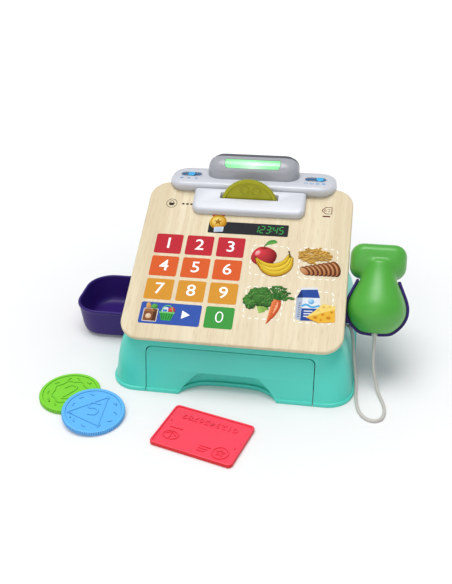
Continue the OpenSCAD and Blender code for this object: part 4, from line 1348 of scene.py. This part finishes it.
# ---------------------------------------------------------------- coins and card
def coin_body(name, place):
    """Knurled disc with raised rims on both faces."""
    sides, ridges = 528, 88
    rows = [(0, 0.8, 0), (COIN_R - 4.0, 0.8, 0), (COIN_R - 3.6, 0.1, 0), (COIN_R - 3.2, 0, 0),
            (COIN_R - 1.0, 0, 1), (COIN_R - 0.3, 0.25, 1), (COIN_R, 0.7, 1),
            (COIN_R, COIN_T - 0.7, 1), (COIN_R - 0.3, COIN_T - 0.25, 1),
            (COIN_R - 1.0, COIN_T, 1), (COIN_R - 3.2, COIN_T, 0), (COIN_R - 3.6, COIN_T - 0.1, 0),
            (COIN_R - 4.0, COIN_T - 0.8, 0), (0, COIN_T - 0.8, 0)]
    points, rings = [], []
    for r, z, ridged in rows:
        if not r:
            rings.append([len(points)] * sides)
            points.append((0, 0, z))
            continue
        rings.append(list(range(len(points), len(points) + sides)))
        for k in range(sides):
            a = math.tau * k / sides
            dip = 0.62 * ridged * (0.5 - 0.5 * math.cos(ridges * a))
            points.append(((r - dip) * math.cos(a), (r - dip) * math.sin(a), z))
    faces = []
    for low, high in zip(rings, rings[1:]):
        for k in range(sides):
            quad = tuple(dict.fromkeys((low[k], low[(k + 1) % sides], high[(k + 1) % sides],
                                        high[k])))
            if len(quad) > 2:
                faces.append(quad)
    return mesh_object(name, points, faces, place)


def ridge(path, width, floor, high, place, steps=4, flank=0.45):
    """Embossed line on a face: a low bar whose sloping sides take the darker copy of the colour as
    painted shade.
    """
    line = smooth_curve([Vector((x, y, 0)) for x, y in path], steps)
    points, faces = [], []
    for i, point in enumerate(line):
        ahead = line[min(i + 1, len(line) - 1)] - line[max(i - 1, 0)]
        side = Vector((-ahead.y, ahead.x, 0)).normalized()
        a, b = point + side * (width / 2 + flank), point - side * (width / 2 + flank)
        c, d = point - side * width / 2, point + side * width / 2
        points += [(a.x, a.y, floor - 0.2), (b.x, b.y, floor - 0.2), (c.x, c.y, high),
                   (d.x, d.y, high)]
    for i in range(len(line) - 1):
        a, b = 4 * i, 4 * i + 4
        faces += [(a + k, a + (k + 1) % 4, b + (k + 1) % 4, b + k) for k in range(4)]
    faces += [(0, 1, 2, 3), (len(points) - 4, len(points) - 3, len(points) - 2, len(points) - 1)]
    return mesh_object("ridge", points, faces, place)


def paint_shade_on_walls(piece, up, steep=0.93):
    """Faces that don't lie flat to the up direction take the piece's darker copy of its colour, as
    painted shade.
    """
    for face in piece.data.polygons:
        face.material_index = 0 if abs(face.normal.dot(up)) > steep else 1


def loop(points):
    return list(points) + [points[0]]


def coin_relief(place, figure, seed):
    """Raised number, two shapes, wavy lines and short strokes, as moulded play coins have."""
    floor, high = COIN_T - 0.85, COIN_T - 0.1
    parts = []
    if figure == "5":
        parts.append(ridge([(9, 21), (10.6, -19.4), (-24.4, -8.2), (9, 21)], 1.0, floor, high,
                           place, 1))
        parts.append(ridge([(5, 9.6), (-4.4, 9.4), (-5.6, 2.8), (0.4, 3.4), (4.6, -0.2),
                            (2.6, -5.4), (-4.2, -6)], 1.4, floor, high, place, 4))
    else:
        parts.append(ridge([(-6.4, 7), (0.4, 11), (6.4, 6.6), (0, -2), (-7.2, -9.6), (8, -9.6)],
                           1.6, floor, high, place, 5))
        parts.append(ridge(loop(ring_points(0, 0, 17.5, count=32, wobble=0.07, waves=8)), 0.9,
                           floor, high, place, 2))
    random.seed(seed)
    for k in range(11):
        a = math.tau * (k + 0.4 * random.random()) / 11
        r = 22
        cx, cy = r * math.cos(a), r * math.sin(a)
        turn = a + math.pi / 2 + random.uniform(-0.8, 0.8)
        dx, dy = 2.2 * math.cos(turn), 2.2 * math.sin(turn)
        bend = (0.9 * math.cos(a), 0.9 * math.sin(a))
        parts.append(ridge([(cx - dx, cy - dy), (cx + bend[0], cy + bend[1]), (cx + dx, cy + dy)],
                           0.9, floor, high, place, 3))
    return parts


def make_coin(name, cad, body, material, place, figure, seed=1):
    coin = coin_body(name, place)
    if figure:
        spots = [place @ Matrix.Translation((x, y, 0)) for x, y in PIN_HOLES]
        cut(coin, *[disc("cutter", 0.9, 2, 8, spot, 20) for spot in spots])
        parts = coin_relief(place, figure, seed)
    else:
        parts = [ridge(loop(ring_points(x, y, 4.5, count=28)), 1.0, COIN_T - 0.85, COIN_T - 0.1,
                       place, 1) for x, y in ((-4.6, 19), (8, 17.4), (0, -15))]
    # Dips, hollows and the relief's sloping sides get the darker copy of the colour as painted
    # shade.
    up = place.to_3x3() @ Vector((0, 0, 1))
    paint_shade_in_dips(coin, place)
    for part in parts:
        paint_shade_on_walls(part, up)
    for part in [coin] + parts:
        part.data.materials.append(material[0])
        part.data.materials.append(material[1])
    finish_piece(join(name, [coin] + parts), body, (cad,), 34)


PIN_HOLES = ((19.5, 13.5), (-19, -14))


def paint_shade_in_dips(coin, place):
    """Rim hollows, the step inside each rim and the pin holes take the darker copy of the colour,
    as painted shade.
    """
    inverse = place.inverted()
    for face in coin.data.polygons:
        spot = inverse @ (face.center / MM)
        r = math.hypot(spot.x, spot.y)
        in_dip = r < COIN_R - 0.36 and 0.3 < spot.z < COIN_T - 0.3 and r > COIN_R - 1.6
        in_step = COIN_R - 4.0 < r < COIN_R - 3.6
        in_hole = spot.z < COIN_T - 0.9 and any(math.hypot(spot.x - x, spot.y - y) < 1
                                                for x, y in PIN_HOLES)
        face.material_index = 1 if in_dip or in_step or in_hole else 0


def make_coins(olive, green, blue):
    upright = Matrix.Translation((0, FRONT + 157 + COIN_T / 2, 142.9)) \
        @ Matrix.Rotation(math.pi / 2, 4, "X")
    make_coin("coin_in_slot", "slot_coin", "slot_coin_body", olive, upright, "")
    make_coin("coin_two", "green_coin", "green_coin_body", green,
              Matrix.Translation((-161.4, FRONT - 18, 0)) @ Matrix.Rotation(0.2, 4, "Z"), "2", 3)
    edge = COIN_R - 0.5
    lean = Matrix.Translation((-127.1, FRONT - 45.8, 0)) \
        @ Matrix.Rotation(math.radians(141), 4, "Z") @ Matrix.Translation((-edge, 0, 0)) \
        @ Matrix.Rotation(math.radians(-6.3), 4, "Y") @ Matrix.Translation((edge, 0, 0)) \
        @ Matrix.Rotation(math.radians(-141), 4, "Z")
    make_coin("coin_five", "blue_coin", "blue_coin_body", blue, lean, "5", 8)


def make_card(red, painted_shade_red):
    place = (Matrix.Translation((-14, FRONT - 60.1, 0))
             @ Matrix.Rotation(math.radians(-14.9), 4, "Z"))
    rows = [(0, 1.0), (0.35, 0.35), (1, 0), (3.7, 0), (4.25, 0.25), (4.5, 0.8), (4.5, 1.5),
            (4.35, 1.9), (3.4, 2.3)]
    rings = [[(x, y, z) for x, y in round_rect(-CARD_W / 2 + inset, CARD_W / 2 - inset,
                                               -CARD_D / 2 + inset, CARD_D / 2 - inset,
                                               4.5 - inset * 0.5, 12)] for z, inset in rows]
    card = skin("card_plate", rings, place)
    cut(card, box_mesh("cutter", -39, 39, -26, 26, -1, 0.8, place),
        *[disc("cutter", 0.8, 2, 6, place @ Matrix.Translation((x, y, 0)), 20)
          for x, y in ((-36.6, 6.5), (36.4, -6.6))])
    floor, high = 3.4, 4.15
    parts = [lettering("card_number", "0123456789", 0, 16.6, 9.2, high, None, place,
                       bold=0.02, depth=1.0, turn=math.pi, stretch=1.3)]
    star = [((4.6 if k % 2 == 0 else 2) * math.sin(math.pi * k / 5) + 26.5,
             (4.6 if k % 2 == 0 else 2) * math.cos(math.pi * k / 5) - 17) for k in range(10)]
    parts.append(ridge(loop(star), 0.8, floor, high, place, 1))
    parts.append(ridge(loop(ring_points(26.5, -17, 7.6, count=32)), 0.9, floor, high, place, 1))
    parts.append(ridge(loop(ring_points(-27.5, -12.6, 7.8, 5.6, count=32)), 0.9, floor, high,
                       place, 1))
    parts.append(ridge([(-33, -12), (-28, -8.6), (-22.4, -13)], 0.8, floor, high, place))
    parts.append(ridge([(-28, -8.6), (-27.6, -16.6)], 0.8, floor, high, place, 1))
    for k in range(3):
        parts.append(ridge([(4, -14.6 - 3.2 * k), (16 - 2 * k, -14.6 - 3.2 * k)], 1.0, floor, high,
                           place, 1))
    parts.append(ridge([(-33.6, -1.6), (-20.4, -1.6)], 1.3, floor, high, place, 1))
    # Walls, rim slopes and the relief's sides take the darker red as painted shade; flat faces keep
    # the lit red.
    up = Vector((0, 0, 1))
    for part in [card] + parts:
        paint_shade_on_walls(part, up, 0.6 if part is card else 0.93)
        part.data.materials.append(red)
        part.data.materials.append(painted_shade_red)
    finish_piece(join("card_plate", [card] + parts), "card", ("play_card",), 34)


# ---------------------------------------------------------------- what is left of the CAD parts
CAD_FINISH = {
    "teal_plastic_dark": ["bottom_plate"], "grey_rubber": ["rubber_feet"],
    "screw_steel": ["housing_screws", "battery_contacts", "cradle_screws"],
    "inner_plastic": ["inner_deck", "drawer_runners"],
    "circuit_green": ["touch_sensor_board", "main_circuit_board", "light_board"],
    "dark_plastic": ["board_components", "coin_chute", "slide_switches", "battery_box", "speaker"],
    "flap_plastic": ["coin_flap"], "battery_jacket": ["batteries"]}


def finish_cad_parts(finishes):
    for name, nodes in CAD_FINISH.items():
        for part in nodes:
            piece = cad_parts[part]
            piece.data.materials.clear()
            piece.data.materials.append(finishes[name])


def main():
    add_camera()
    add_world()
    add_floor()
    add_sun("key", (0.16, 0.06, -1), 1.72, 40)
    add_area_light("front_softbox", (-0.15, -1.25, 0.75), (0, 0, 0.06), (0.9, 0.6), 2.6)
    add_area_light("top_softbox", (0.1, -0.15, 1.0), (0.08, 0, 0.05), (0.5, 0.35), 2.2)

    teal = plastic("teal_plastic", "#4BCFBE", 0.34, coat=0.1)
    shade_teal = plastic("teal_plastic_dark", "#45A99B", 0.38)
    white = plastic("white_plastic", "#C3C5CC", 0.3, 0.012, coat=0.1)
    grey = plastic("reader_grey", "#9A9BA2", 0.34, 0.012, coat=0.2)
    purple = plastic("purple_plastic", "#2E1468", 0.42, sheen=0.3)
    scanner_green = plastic("scanner_green", "#439E2C", 0.5, 0.015, 1800, 0.02, coat=0.5,
                            coat_rough=0.36)
    rubber = plastic("cord_grey", "#BDB9B3", 0.5, 0.03, 1600, 0.1)
    make_cord(rubber)
    make_housing(teal)
    make_drawer(teal, shade_teal)
    make_panel(beech())
    make_prints(painted("print_ink"))
    make_bezel(white)
    make_deck(white, plastic("switch_blue", "#1F5F92", 0.2, coat=0.4),
              plastic("slider_cyan", "#36B4EA", 0.25, coat=0.3))
    # The reader's back plate is given a darker grey as painted shade.
    make_reader(grey, plastic("reader_back_painted_shade", "#4C4E54", 0.4, 0.02), lit_window())
    make_tray(purple)
    make_cradle(purple)
    make_scanner(scanner_green, plastic("tip_black", "#1C1D20", 0.12, coat=0.5), rubber)
    # Coins and card: a lit colour for flat faces and a darker copy as painted shade for walls and
    # hollows.
    make_coins(lit_and_shaded("coin_olive", "#A3A20C", "#7A7B06"),
               lit_and_shaded("coin_green", "#7BD031", "#4E9A1A"),
               lit_and_shaded("coin_blue", "#5FB2F2", "#3F86C4"))
    make_card(*lit_and_shaded("card_red", "#F0445A", "#D81A22"))
    steel = metal("screw_steel", (0.62, 0.62, 0.64))
    make_back_details(shade_teal, steel)
    finish_cad_parts({
        "teal_plastic_dark": shade_teal, "screw_steel": steel,
        "grey_rubber": plastic("grey_rubber", "#8F9A98", 0.7, 0.04, 1600, 0.15),
        "inner_plastic": plastic("inner_plastic", "#D3D7DC", 0.45),
        "circuit_green": plastic("circuit_green", "#1F6B43", 0.4, 0.08),
        "dark_plastic": plastic("dark_plastic", "#2E3138", 0.45),
        "flap_plastic": plastic("flap_plastic", "#8C9096", 0.4),
        "battery_jacket": metal("battery_jacket", "#C9A227", 0.3)})


main()
